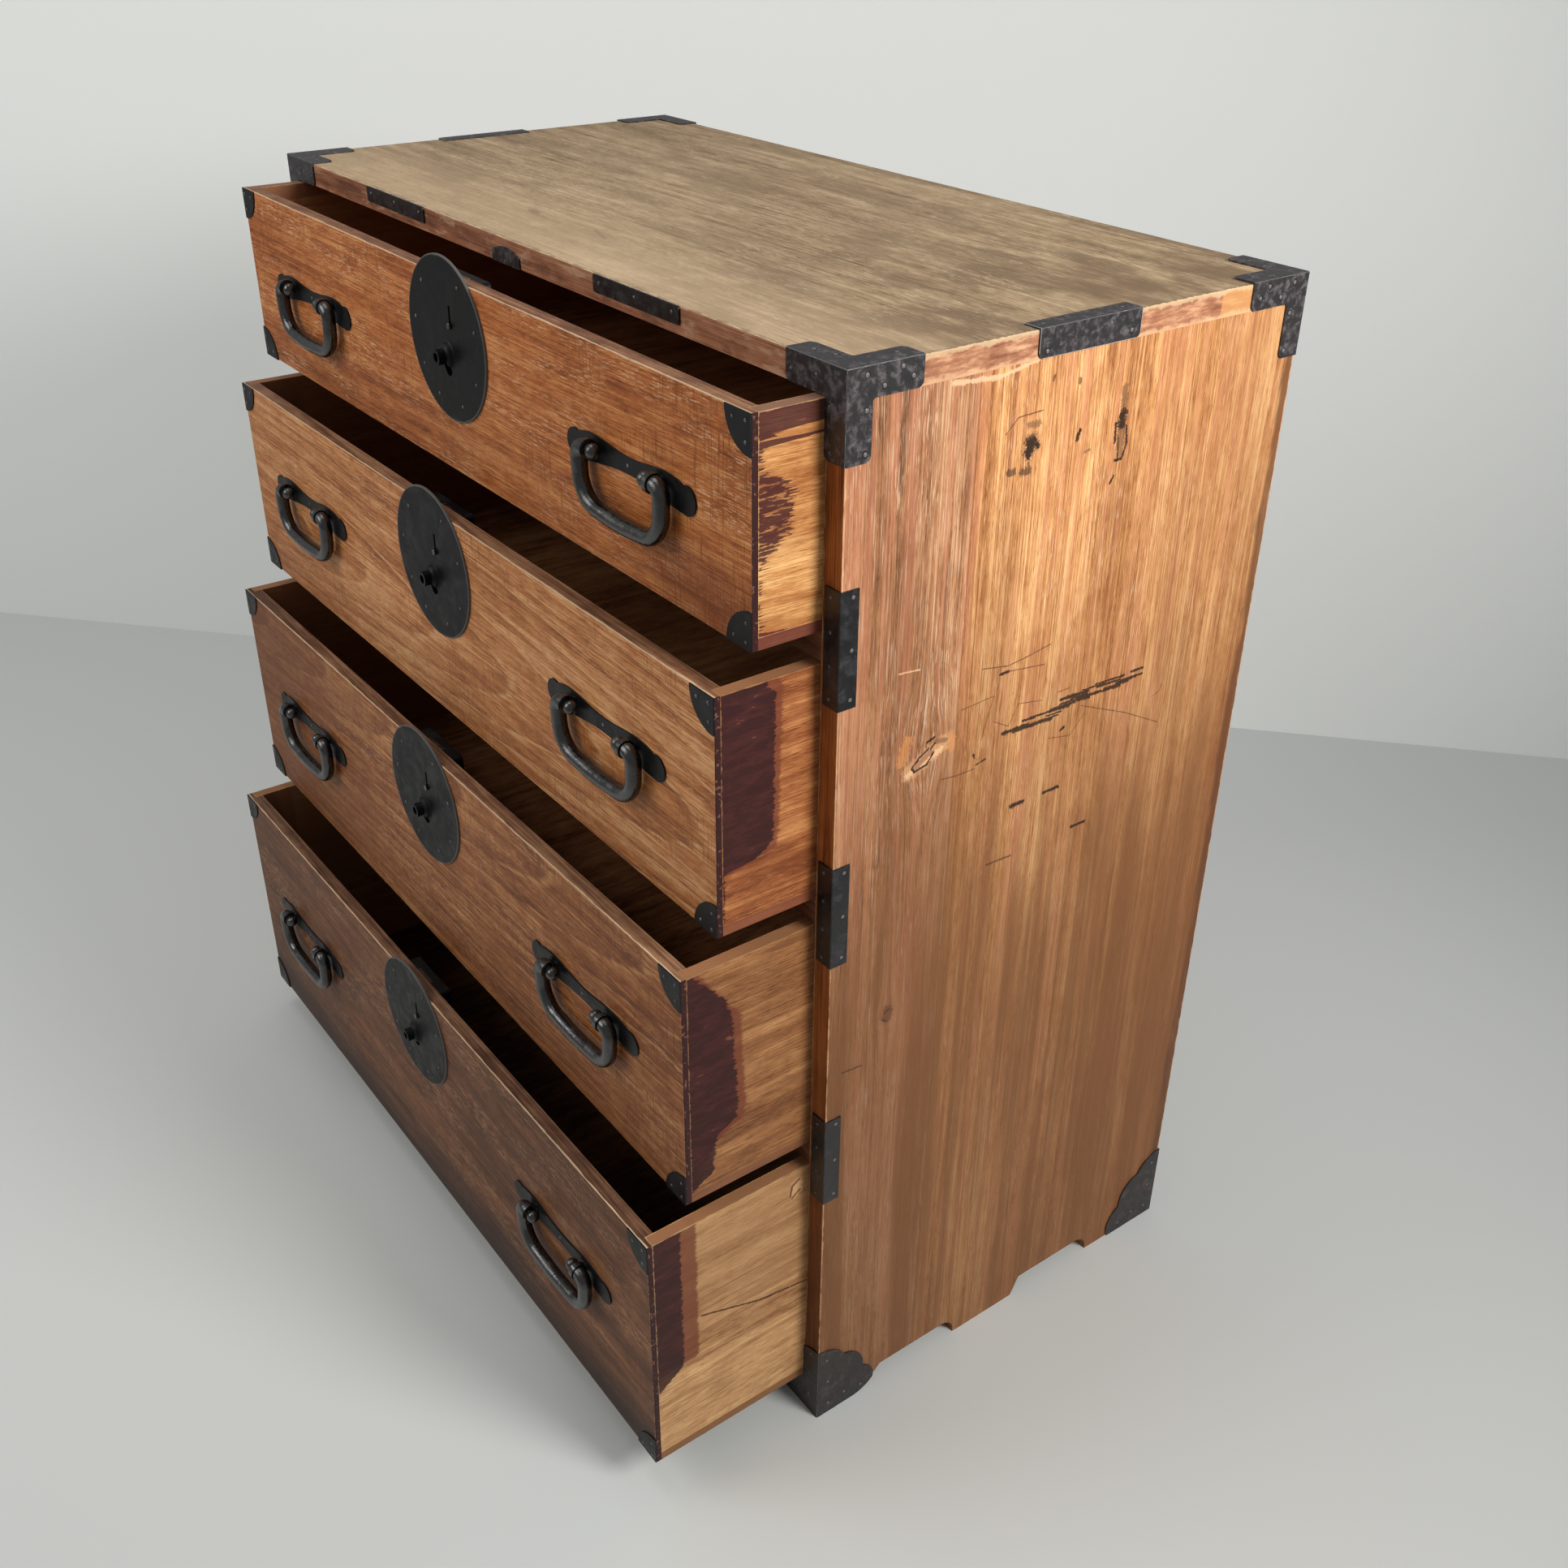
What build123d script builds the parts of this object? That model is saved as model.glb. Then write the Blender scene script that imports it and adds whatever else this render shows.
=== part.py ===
from build123d import *

import os

# Isho clothing chest: a boarded carcase with sheet-iron mounts and four lockable drawers of rising depth.
# Millimetres. The origin is the centre of the footprint on the floor, +X is right as seen from the front,
# the front faces -Y and +Z is up. The drawers are numbered from the top and stand part-way open.

os.makedirs("parts", exist_ok=True)

# Carcase boards
carcase_width = 906.0
carcase_depth = 451.0
side_board = 20.0
top_board = 20.5
bottom_board = 19.0
dust_board = 12.0
back_board = 8.0
back_board_count = 4
back_board_gap = 0.5
back_rabbet = 10.0
rail_height = 23.4
rail_depth = 45.0
rail_shoulder = 4.0
housing_depth = 6.0
housing_setback = 8.0
board_edge_round = 1.2

# Feet and arches along the lower edge of a side board, measured back from the front edge
foot_height = 21.0
arch_relief = 0.5
front_foot = 43.0
foot_toe_run = 22.4
foot_toe_rise = 10.5
foot_toe_slope = 0.12
arch_slope_run = 9.6
middle_foot_front = 169.0
middle_foot = 78.0
rear_foot = 97.5
arch_heel_run = 15.0
foot_block_depth = 45.0

# Sheet-iron mounts
iron = 1.5
iron_bend = 1.0
bracket_arm = 63.0
bracket_width = 20.5
bracket_corner = 5.0
bracket_crook = 2.5
edge_strap_length = 91.0
edge_strap_front = 16.0
edge_strap_side = 15.0
edge_strap_rise = 3.0
top_strap_length = 100.0
top_strap_drop = 20.0
top_strap_width = 15.0
top_strap_shift = -9.0
rail_plate_length = 118.0
rail_plate_height = 13.5
rail_plate_x = 204.0
rail_plate_corner = 2.0
keeper_width = 46.0
keeper_side = 8.5
keeper_apex = 14.0
shoe_height = 86.0
# Points along a shoe leaf's scalloped edge, from the top to the toe, as shares of its reach and height
shoe_scallops = ((0.29, 0.924), (0.453, 0.779), (0.723, 0.644), (0.806, 0.4), (0.957, 0.302))
shoe_front_width = 20.5
shoe_lip = 1.0

# Drawer boxes, top to bottom
drawer_heights = (165.3, 199.5, 224.7, 263.9)
pull_outs = (57.0, 88.5, 122.0, 161.0)
handle_drops = (75.0, 84.0, 102.0, 111.0)
lock_shifts = (5.0, 0.0, 1.0, 1.0)
running_gap = 0.3
top_clearance = 1.3
side_clearance = 0.8
rear_clearance = 1.0
closed_proud = 1.8
drawer_front = 13.0
front_lip = 5.0
drawer_side = 11.5
drawer_back = 11.5
back_drop = 8.0
drawer_bottom = 9.0
drawer_edge_round = 0.8
corner_plate_radius = 29.0
corner_plate = 1.2

# Lock: a round plate with a key pipe, and a bolt that lifts into the rail above
lock_drop = 51.0
lock_radius = 68.0
lock_plate = 2.0
lock_rim = 0.5
pipe_drop = 13.0
pipe_radius = 6.5
pipe_bore = 4.0
pipe_length = 13.0
boss_radius = 13.0
boss_height = 4.6
boss_step = 0.8
boss_step_width = 1.2
key_slot_width = 12.0
key_slot_foot = 30.0
nub_shift = 10.0
nub_rise = 13.5
nub_stem = 1.2
nub_head = 2.75
nub_head_height = 2.2
slit_width = 3.0
slit_foot = 11.0
slit_top = 30.0
bolt_width = 28.0
bolt_height = 44.0
bolt_thickness = 4.0
bolt_top_drop = 1.5
bolt_clearance = 0.3
bolt_mortise_depth = 14.0
bolt_mortise_slack = 2.0
case_width = 70.0
case_height = 88.0
case_depth = 12.0
case_top_drop = 2.0
case_corner = 4.0
key_chamber_radius = 11.0
key_chamber_wall = 2.0

# Handles: a swinging bail whose ball ends hang in two eye posts on a shaped back plate
handle_inset = 170.0
handle_plate = 1.5
plate_half_length = 85.6
plate_tip_drop = 7.0
plate_lobe_x = 74.0
plate_lobe_drop = 16.2
plate_web_drop = 11.8
plate_waist_drop = 8.6
plate_waist_rise = 3.8
plate_shoulder_x = 48.0
plate_shoulder_rise = 7.9
plate_bend_x = 70.0
plate_bend_rise = 4.4
bail_standoff = 9.5
bail_radius = 6.3
bail_half_width = 56.0
bail_waist = 53.6
bail_drop = 45.7
bail_sag = 4.0
bail_shoulder_x = 47.0
bail_turn = 8.0
bail_corner = 24.0
bail_bow = 200.0
bail_neck = 4.4
ball_radius = 5.8
ball_x = 35.0
eye_x = 43.8
eye_width = 5.0
eye_radius = 7.5
eye_clearance = 0.25
post_collar = 4.0
post_pin = 2.5
pin_clearance = 0.1
clinch_length = 14.0
clinch_width = 3.6
clinch_height = 1.6

# Places that follow from the sizes above
front_y = -carcase_depth / 2
back_y = carcase_depth / 2
back_board_y = back_y - back_board
rail_back_y = front_y + rail_depth
side_outer = carcase_width / 2
side_inner = side_outer - side_board
groove_x = side_inner + housing_depth
floor_board_top = foot_height + bottom_board
arch_height = foot_height - arch_relief
shoe_reach = front_foot + foot_toe_run

opening_bottoms = []
opening_tops = []
level = floor_board_top
for drawer_height in reversed(drawer_heights):
    opening_bottoms.insert(0, level)
    opening_tops.insert(0, level + running_gap + drawer_height + top_clearance)
    level = opening_tops[0] + rail_height
side_top = opening_tops[0]
carcase_top = side_top + top_board
rail_bottoms = opening_tops[1:]

closed_face = front_y - closed_proud
drawer_half = side_inner - side_clearance
drawer_rear = back_board_y - rear_clearance
closed_bolt_y = closed_face + drawer_front + bolt_clearance / 2 + bolt_thickness / 2
pin_hole = post_pin + pin_clearance
handle_x = side_outer - handle_inset
eye_bore = bail_neck + eye_clearance
post_places = [side * handle_x + end * eye_x for side in (-1, 1) for end in (-1, 1)]


def facing_front(y):
    """Upright plane at y, seen from the front: local x is +X, local y is +Z, and its normal is -Y."""
    return Plane.XZ.offset(-y)


def write(builder, name):
    builder.part.label = name
    export_step(builder.part, f"parts/{name}.step")


def bolt_mortise(underside, x):
    """Sketch of the mortise that a lifted lock bolt enters, on the underside of a rail or the top board."""
    with BuildSketch(underside) as mortise:
        with Locations((x, closed_bolt_y)):
            Rectangle(bolt_width + bolt_mortise_slack, bolt_thickness + 2 * bolt_mortise_slack)
    return mortise.sketch


# Side boards

front_arch_y = front_y + front_foot
front_arch_end = front_y + middle_foot_front
rear_arch_y = front_arch_end + middle_foot
rear_arch_end = back_y - rear_foot
toe_y = front_arch_y + foot_toe_run
heel_bow = 0.27 * arch_heel_run

with BuildPart() as right_side_board:
    with BuildSketch(Plane.YZ.offset(side_inner)):
        with Locations((0, side_top / 2)):
            Rectangle(carcase_depth, side_top)
        with BuildLine():
            toe = TangentArc((front_arch_y, 0), (toe_y, foot_toe_rise), tangent=(1, foot_toe_slope))
            slope = Line(toe @ 1, (toe_y + arch_slope_run, arch_height))
            flat = Line(slope @ 1, (front_arch_end - arch_heel_run, arch_height))
            ThreePointArc(flat @ 1, (front_arch_end - heel_bow, 0.7 * arch_height), (front_arch_end, 0))
            Line((front_arch_end, 0), toe @ 0)
        make_face(mode=Mode.SUBTRACT)
        with BuildLine():
            slope = Line((rear_arch_y, 0), (rear_arch_y + arch_slope_run, arch_height))
            flat = Line(slope @ 1, (rear_arch_end - arch_heel_run, arch_height))
            ThreePointArc(flat @ 1, (rear_arch_end - heel_bow, 0.7 * arch_height), (rear_arch_end, 0))
            Line((rear_arch_end, 0), slope @ 0)
        make_face(mode=Mode.SUBTRACT)
    extrude(amount=side_board)
    # Grooves for the bottom board and the dust boards, and mortises for the rail tenons
    with BuildSketch(Plane.YZ.offset(side_inner)):
        groove_front = front_y + housing_setback
        with Locations(((groove_front + back_board_y) / 2, foot_height + bottom_board / 2)):
            Rectangle(back_board_y - groove_front, bottom_board)
        for rail_bottom in rail_bottoms:
            with Locations(((groove_front + rail_back_y) / 2, rail_bottom + rail_height / 2)):
                Rectangle(rail_back_y - groove_front, rail_height - 2 * rail_shoulder)
            with Locations(((rail_back_y + back_board_y) / 2, rail_bottom + rail_height - dust_board / 2)):
                Rectangle(back_board_y - rail_back_y, dust_board)
    extrude(amount=housing_depth, mode=Mode.SUBTRACT)
    # Rabbet for the back boards
    with BuildSketch(Plane.YZ.offset(side_inner)):
        with Locations(((back_board_y + back_y) / 2, (foot_height + side_top) / 2)):
            Rectangle(back_board, side_top - foot_height)
    extrude(amount=back_rabbet, mode=Mode.SUBTRACT)
write(right_side_board, "right_side_board")

with BuildPart() as left_side_board:
    mirror(right_side_board.part, about=Plane.YZ)
write(left_side_board, "left_side_board")

# Top, bottom, dust and back boards

with BuildPart() as top:
    with BuildSketch(Plane.XY.offset(side_top)):
        Rectangle(carcase_width, carcase_depth)
    extrude(amount=top_board)
    fillet(top.faces().sort_by(Axis.Z)[-1].edges(), board_edge_round)
    extrude(bolt_mortise(Plane.XY.offset(side_top), lock_shifts[0]), bolt_mortise_depth, mode=Mode.SUBTRACT)
write(top, "top_board")

with BuildPart() as bottom:
    with BuildSketch(Plane.XY.offset(foot_height)):
        with Locations((0, (front_y + back_board_y) / 2)):
            Rectangle(2 * side_inner, back_board_y - front_y)
        with Locations((0, (front_y + housing_setback + back_board_y) / 2)):
            Rectangle(2 * groove_x, back_board_y - front_y - housing_setback)
    extrude(amount=bottom_board)
write(bottom, "bottom_board")

with BuildPart() as dust_boards:
    for rail_bottom in rail_bottoms:
        with BuildSketch(Plane.XY.offset(rail_bottom + rail_height)):
            with Locations((0, (rail_back_y + back_board_y) / 2)):
                Rectangle(2 * groove_x, back_board_y - rail_back_y)
        extrude(amount=-dust_board)
write(dust_boards, "dust_boards")

with BuildPart() as back_boards:
    board_pitch = (side_top - foot_height + back_board_gap) / back_board_count
    board_width = board_pitch - back_board_gap
    with BuildSketch(facing_front(back_y)):
        for board in range(back_board_count):
            with Locations((0, foot_height + board * board_pitch + board_width / 2)):
                Rectangle(2 * (side_inner + back_rabbet), board_width)
    extrude(amount=back_board)
write(back_boards, "back_boards")

# Rails between the drawers, with a stub tenon at each end and a bolt mortise below

with BuildPart() as front_rails:
    for rail_bottom, lock_shift in zip(rail_bottoms, lock_shifts[1:]):
        with BuildSketch(Plane.XY.offset(rail_bottom)):
            with Locations((0, (front_y + rail_back_y) / 2)):
                Rectangle(2 * side_inner, rail_depth)
        extrude(amount=rail_height)
        with BuildSketch(Plane.XY.offset(rail_bottom + rail_shoulder)):
            with Locations((0, (front_y + housing_setback + rail_back_y) / 2)):
                Rectangle(2 * groove_x, rail_depth - housing_setback)
        extrude(amount=rail_height - 2 * rail_shoulder)
        mortise = bolt_mortise(Plane.XY.offset(rail_bottom), lock_shift)
        extrude(mortise, bolt_mortise_depth, mode=Mode.SUBTRACT)
write(front_rails, "front_rails")

# Blocks that fill the corners of the base behind the iron shoes, with a lifted toe at the front

with BuildPart() as foot_blocks:
    with BuildSketch(facing_front(front_y)):
        with BuildLine():
            toe_start = (side_outer - front_foot, 0)
            toe_end = (side_outer - shoe_reach, foot_toe_rise)
            TangentArc(toe_start, toe_end, tangent=(-1, foot_toe_slope))
            Polyline(toe_end, (toe_end[0], foot_height), (side_inner, foot_height))
            Polyline((side_inner, foot_height), (side_inner, 0), toe_start)
        make_face()
    extrude(amount=-foot_block_depth)
    with BuildSketch(facing_front(back_y)):
        with Locations((side_outer - shoe_reach, 0)):
            Rectangle(shoe_reach - side_board, foot_height, align=Align.MIN)
    extrude(amount=foot_block_depth)
    mirror(about=Plane.YZ)
write(foot_blocks, "foot_blocks")

# Sheet-iron mounts of the carcase

# Each leaf of a top bracket is drawn from the wood's corner: (local x direction, normal, extrusion)
bracket_leaves = (
    ((-1, 0, 0), (0, -1, 0), iron),
    ((0, 1, 0), (-1, 0, 0), -iron),
    ((-1, 0, 0), (0, 0, -1), -iron),
)


def outer_bend(edge):
    """True for a bracket edge where two of its outer faces meet."""
    centre = edge.center()
    on_side = abs(centre.X - side_outer - iron) < iron / 10
    on_front = abs(centre.Y - front_y + iron) < iron / 10
    on_top = abs(centre.Z - carcase_top - iron) < iron / 10
    return on_side + on_front + on_top == 2


with BuildPart() as top_brackets:
    for leaf_x, leaf_normal, leaf_thickness in bracket_leaves:
        with BuildSketch(Plane((side_outer, front_y, carcase_top), x_dir=leaf_x, z_dir=leaf_normal)) as leaf:
            with Locations((-iron, -iron)):
                Rectangle(bracket_arm + iron, bracket_width + iron, align=Align.MIN)
                Rectangle(bracket_width + iron, bracket_arm + iron, align=Align.MIN)
            fillet(leaf.vertices().sort_by(lambda v: v.X + v.Y)[-2:], bracket_corner)
            crook = leaf.vertices().sort_by_distance((bracket_width, bracket_width))[0]
            fillet(crook, bracket_crook)
        extrude(amount=leaf_thickness)
    fillet(top_brackets.edges().filter_by(outer_bend), iron_bend)
    mirror(about=Plane.YZ)
    mirror(about=Plane.XZ)
write(top_brackets, "top_brackets")

with BuildPart() as top_edge_straps:
    with BuildSketch(facing_front(top_strap_shift + top_strap_length / 2)) as strap:
        with Locations((side_outer - top_strap_width, carcase_top)):
            Rectangle(top_strap_width + iron, iron, align=Align.MIN)
        with Locations((side_outer, carcase_top - top_strap_drop)):
            Rectangle(iron, top_strap_drop + iron, align=Align.MIN)
        fillet(strap.vertices().sort_by(lambda v: v.X + v.Y)[-1], iron_bend)
    extrude(amount=top_strap_length)
    fillet(top_edge_straps.edges().filter_by(Axis.X).group_by(Axis.Z)[0], bracket_corner)
    mirror(about=Plane.YZ)
write(top_edge_straps, "top_edge_straps")

with BuildPart() as edge_straps:
    for rail_bottom in rail_bottoms:
        strap_middle = rail_bottom + rail_height / 2 + edge_strap_rise
        with BuildSketch(Plane.XY.offset(strap_middle - edge_strap_length / 2)) as strap:
            with Locations((side_outer - edge_strap_front, front_y - iron)):
                Rectangle(edge_strap_front + iron, iron, align=Align.MIN)
            with Locations((side_outer, front_y - iron)):
                Rectangle(iron, edge_strap_side + iron, align=Align.MIN)
            fillet(strap.vertices().sort_by(lambda v: v.X - v.Y)[-1], iron_bend)
        extrude(amount=edge_strap_length)
    mirror(about=Plane.YZ)
write(edge_straps, "edge_straps")

with BuildPart() as rail_plates:
    with BuildSketch(facing_front(front_y)):
        with Locations(
            (-rail_plate_x, carcase_top - rail_plate_height / 2),
            (rail_plate_x, carcase_top - rail_plate_height / 2),
        ):
            RectangleRounded(rail_plate_length, rail_plate_height, rail_plate_corner)
    extrude(amount=iron)
write(rail_plates, "rail_plates")

with BuildPart() as keeper_plates:
    with BuildSketch(facing_front(front_y)):
        for keeper_foot, lock_shift in zip(opening_tops, lock_shifts):
            left_x = lock_shift - keeper_width / 2
            right_x = lock_shift + keeper_width / 2
            with BuildLine():
                shoulder = keeper_foot + keeper_side
                Polyline((left_x, shoulder), (left_x, keeper_foot), (right_x, keeper_foot))
                Line((right_x, keeper_foot), (right_x, shoulder))
                apex = (lock_shift, keeper_foot + keeper_apex)
                ThreePointArc((right_x, shoulder), apex, (left_x, shoulder))
            make_face()
    extrude(amount=iron)
write(keeper_plates, "keeper_plates")


def corner_shoe(at_front):
    """Shoe for the front right corner: two scalloped leaves bent round the corner post.

    At the front the toe lifts off the floor, and the front leaf is cut back to the side board beside the
    drawer. A rear shoe stands flat and has two whole leaves."""
    leaf_planes = (
        (Plane((side_outer, front_y, 0), x_dir=(0, 1, 0), z_dir=(1, 0, 0)), iron, False),
        (Plane((side_outer, front_y, 0), x_dir=(-1, 0, 0), z_dir=(0, 1, 0)), -iron, at_front),
    )
    scallops = [(along * shoe_reach, up * shoe_height) for along, up in shoe_scallops]
    with BuildPart() as shoe:
        for leaf_plane, thickness, cut_back in leaf_planes:
            with BuildSketch(leaf_plane):
                with BuildLine():
                    Polyline((front_foot, 0), (-iron, 0), (-iron, shoe_height), (0, shoe_height))
                    upper = ThreePointArc((0, shoe_height), scallops[0], scallops[1])
                    middle = ThreePointArc(upper @ 1, scallops[2], scallops[3])
                    toe = (shoe_reach, foot_toe_rise if at_front else 0)
                    ThreePointArc(middle @ 1, scallops[4], toe)
                    if at_front:
                        TangentArc((front_foot, 0), toe, tangent=(1, foot_toe_slope))
                    else:
                        Line((front_foot, 0), toe)
                make_face()
                if cut_back:
                    with Locations((shoe_front_width, floor_board_top - shoe_lip)):
                        Rectangle(shoe_reach, shoe_height, align=Align.MIN, mode=Mode.SUBTRACT)
            extrude(amount=thickness)
        fillet(shoe.edges().filter_by(Axis.Z).sort_by(lambda e: e.center().X - e.center().Y)[-1], iron_bend)
    return shoe.part


with BuildPart() as corner_shoes:
    add(corner_shoe(at_front=True))
    mirror(corner_shoe(at_front=False), about=Plane.XZ)
    mirror(about=Plane.YZ)
write(corner_shoes, "corner_shoes")

# Bail, drawn once about its own hinge line along X

with BuildPart() as bail:
    with BuildLine(Plane.XZ) as bail_line:
        corners = [
            (bail_shoulder_x, 0),
            (bail_half_width, 0),
            (bail_waist, bail_sag - bail_drop),
            (0, -bail_drop),
            (-bail_waist, bail_sag - bail_drop),
            (-bail_half_width, 0),
            (-bail_shoulder_x, 0),
        ]
        FilletPolyline(*corners, radius=[bail_turn, bail_corner, bail_bow, bail_corner, bail_turn])
    with BuildSketch(Plane((bail_shoulder_x, 0, 0), z_dir=(1, 0, 0))):
        Circle(bail_radius)
    sweep(path=bail_line.line)
    for end_x, inward in ((bail_shoulder_x, -1), (-bail_shoulder_x, 1)):
        with BuildSketch(Plane((end_x, 0, 0), z_dir=(inward, 0, 0))):
            Circle(bail_neck)
        extrude(amount=bail_shoulder_x - ball_x)
    with Locations((ball_x, 0, 0), (-ball_x, 0, 0)):
        Sphere(ball_radius)

# Handle back plate, drawn once about the hinge line in the plane of the drawer's face

with BuildSketch() as handle_outline:
    with BuildLine():
        waist = (0, plate_waist_rise)
        shoulder = (plate_shoulder_x, plate_shoulder_rise)
        crest = Spline(waist, shoulder, (plate_bend_x, plate_bend_rise), tangents=((1, 0), (1, -0.4)))
        lobe = (plate_lobe_x, -plate_lobe_drop)
        tip = ThreePointArc(crest @ 1, (plate_half_length, -plate_tip_drop), lobe)
        web = (plate_lobe_x / 2, -plate_web_drop)
        Spline(tip @ 1, web, (0, -plate_waist_drop), tangents=((-1, 0.05), (-1, 0)))
        mirror(about=Plane.YZ)
    make_face()
    with Locations((-eye_x, 0), (eye_x, 0)):
        Circle(pin_hole, mode=Mode.SUBTRACT)


def handle_post(x, face, z):
    """Eye post: a ring round the bail's neck on a collared pin, clinched behind the drawer front."""
    hinge_y = face - bail_standoff
    with BuildPart() as post:
        with BuildSketch(Plane((x, hinge_y, z), x_dir=(0, 1, 0), z_dir=(1, 0, 0))):
            Circle(eye_radius)
        extrude(amount=eye_width / 2, both=True)
        with BuildSketch(Plane((x, face - handle_plate, z), x_dir=(1, 0, 0), z_dir=(0, -1, 0))):
            Circle(post_collar)
        extrude(amount=bail_standoff - handle_plate - bail_radius - 2 * eye_clearance)
        with BuildSketch(Plane((x, face - handle_plate, z), x_dir=(1, 0, 0), z_dir=(0, 1, 0))):
            Circle(post_pin)
        extrude(amount=handle_plate + drawer_front + clinch_height)
        with BuildSketch(Plane((x, face + drawer_front, z), x_dir=(1, 0, 0), z_dir=(0, 1, 0))):
            SlotOverall(clinch_length, clinch_width)
        extrude(amount=clinch_height)
        with BuildSketch(Plane((x, hinge_y, z), x_dir=(0, 1, 0), z_dir=(1, 0, 0))):
            Circle(eye_bore)
        extrude(amount=eye_width, both=True, mode=Mode.SUBTRACT)
    return post.part


# The four drawers

for index, height in enumerate(drawer_heights):
    name = f"drawer_{index + 1}"
    face = closed_face - pull_outs[index]
    rear = drawer_rear - pull_outs[index]
    back_of_front = face + drawer_front
    foot = opening_bottoms[index] + running_gap
    brim = foot + height
    inner_half = drawer_half - drawer_side
    lock_x = lock_shifts[index]
    lock_z = brim - lock_drop
    handle_z = brim - handle_drops[index]
    key_z = lock_z - pipe_drop
    nub_x = lock_x + nub_shift

    # Cuts for the key and for the bolt's nub, shared by the drawer front and the lock plate
    with BuildSketch(facing_front(back_of_front)) as lock_cuts:
        slot_length = key_slot_foot - pipe_drop + key_slot_width / 2
        with Locations((lock_x, lock_z - key_slot_foot + slot_length / 2)):
            SlotOverall(slot_length, key_slot_width, rotation=90)
        with Locations((nub_x, lock_z + (slit_foot + slit_top) / 2)):
            SlotOverall(slit_top - slit_foot, slit_width, rotation=90)

    with BuildPart() as front:
        with BuildSketch(facing_front(back_of_front)):
            with Locations((0, foot + height / 2)):
                Rectangle(2 * drawer_half, height)
        extrude(amount=drawer_front)
        fillet(front.faces().sort_by(Axis.Y)[0].edges(), drawer_edge_round)
        # Rabbets that lap over the ends of the sides and the front of the bottom
        with BuildSketch(facing_front(back_of_front)):
            with Locations((0, foot + height / 2)):
                Rectangle(2 * drawer_half, height)
            with Locations((0, foot + drawer_bottom)):
                middle = (Align.CENTER, Align.MIN)
                Rectangle(2 * inner_half, height, align=middle, mode=Mode.SUBTRACT)
        extrude(amount=drawer_front - front_lip, mode=Mode.SUBTRACT)
        extrude(lock_cuts.sketch, drawer_front, mode=Mode.SUBTRACT)
        with BuildSketch(facing_front(back_of_front)):
            with Locations(*[(post_x, handle_z) for post_x in post_places]):
                Circle(pin_hole)
        extrude(amount=drawer_front, mode=Mode.SUBTRACT)
    write(front, f"{name}_front")

    with BuildPart() as sides:
        with BuildSketch(Plane.YZ.offset(inner_half)):
            with Locations((face + front_lip, foot + drawer_bottom)):
                Rectangle(rear - face - front_lip, height - drawer_bottom, align=Align.MIN)
        extrude(amount=drawer_side)
        mirror(about=Plane.YZ)
    write(sides, f"{name}_sides")

    with BuildPart() as back:
        with BuildSketch(facing_front(rear)):
            with Locations((0, foot + drawer_bottom)):
                upright = (Align.CENTER, Align.MIN)
                Rectangle(2 * inner_half, height - drawer_bottom - back_drop, align=upright)
        extrude(amount=drawer_back)
    write(back, f"{name}_back")

    with BuildPart() as base:
        with BuildSketch(Plane.XY.offset(foot)):
            with Locations((0, (face + front_lip + rear) / 2)):
                Rectangle(2 * drawer_half, rear - face - front_lip)
        extrude(amount=drawer_bottom)
    write(base, f"{name}_bottom")

    with BuildPart() as corner_plates:
        with BuildSketch(facing_front(face)):
            with Locations((0, foot + height / 2)):
                with GridLocations(2 * drawer_half, height, 2, 2):
                    Circle(corner_plate_radius)
                Rectangle(2 * drawer_half, height, mode=Mode.INTERSECT)
        extrude(amount=corner_plate)
    write(corner_plates, f"{name}_corner_plates")

    with BuildPart() as lock:
        with BuildSketch(facing_front(face)):
            with Locations((lock_x, lock_z)):
                Circle(lock_radius)
        extrude(amount=lock_plate)
        chamfer(lock.faces().sort_by(Axis.Y)[0].edges(), lock_rim)
        # Stepped boss round the key pipe
        with BuildSketch(Plane.YZ.offset(lock_x)):
            with BuildLine():
                Polyline(
                    (face, key_z),
                    (face, key_z + boss_radius),
                    (face - lock_plate, key_z + boss_radius),
                    (face - lock_plate - boss_step, key_z + boss_radius - boss_step_width),
                    (face - lock_plate - boss_step, key_z + boss_radius - 2 * boss_step_width),
                )
                ThreePointArc(
                    (face - lock_plate - boss_step, key_z + boss_radius - 2 * boss_step_width),
                    (face - lock_plate - 0.65 * boss_height, key_z + boss_radius - 3 * boss_step_width),
                    (face - lock_plate - boss_height, key_z + pipe_radius),
                )
                Polyline((face - lock_plate - boss_height, key_z + pipe_radius),
                         (face - lock_plate - boss_height, key_z), (face, key_z))
            make_face()
        revolve(axis=Axis((lock_x, face, key_z), (0, 1, 0)))
        extrude(lock_cuts.sketch, 2 * drawer_front, mode=Mode.SUBTRACT)
        with BuildSketch(facing_front(face)):
            with Locations((lock_x, key_z)):
                Circle(pipe_radius)
        extrude(amount=pipe_length)
        with BuildSketch(facing_front(face)):
            with Locations((lock_x, key_z)):
                Circle(pipe_bore)
        extrude(amount=pipe_length, mode=Mode.SUBTRACT)
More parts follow.
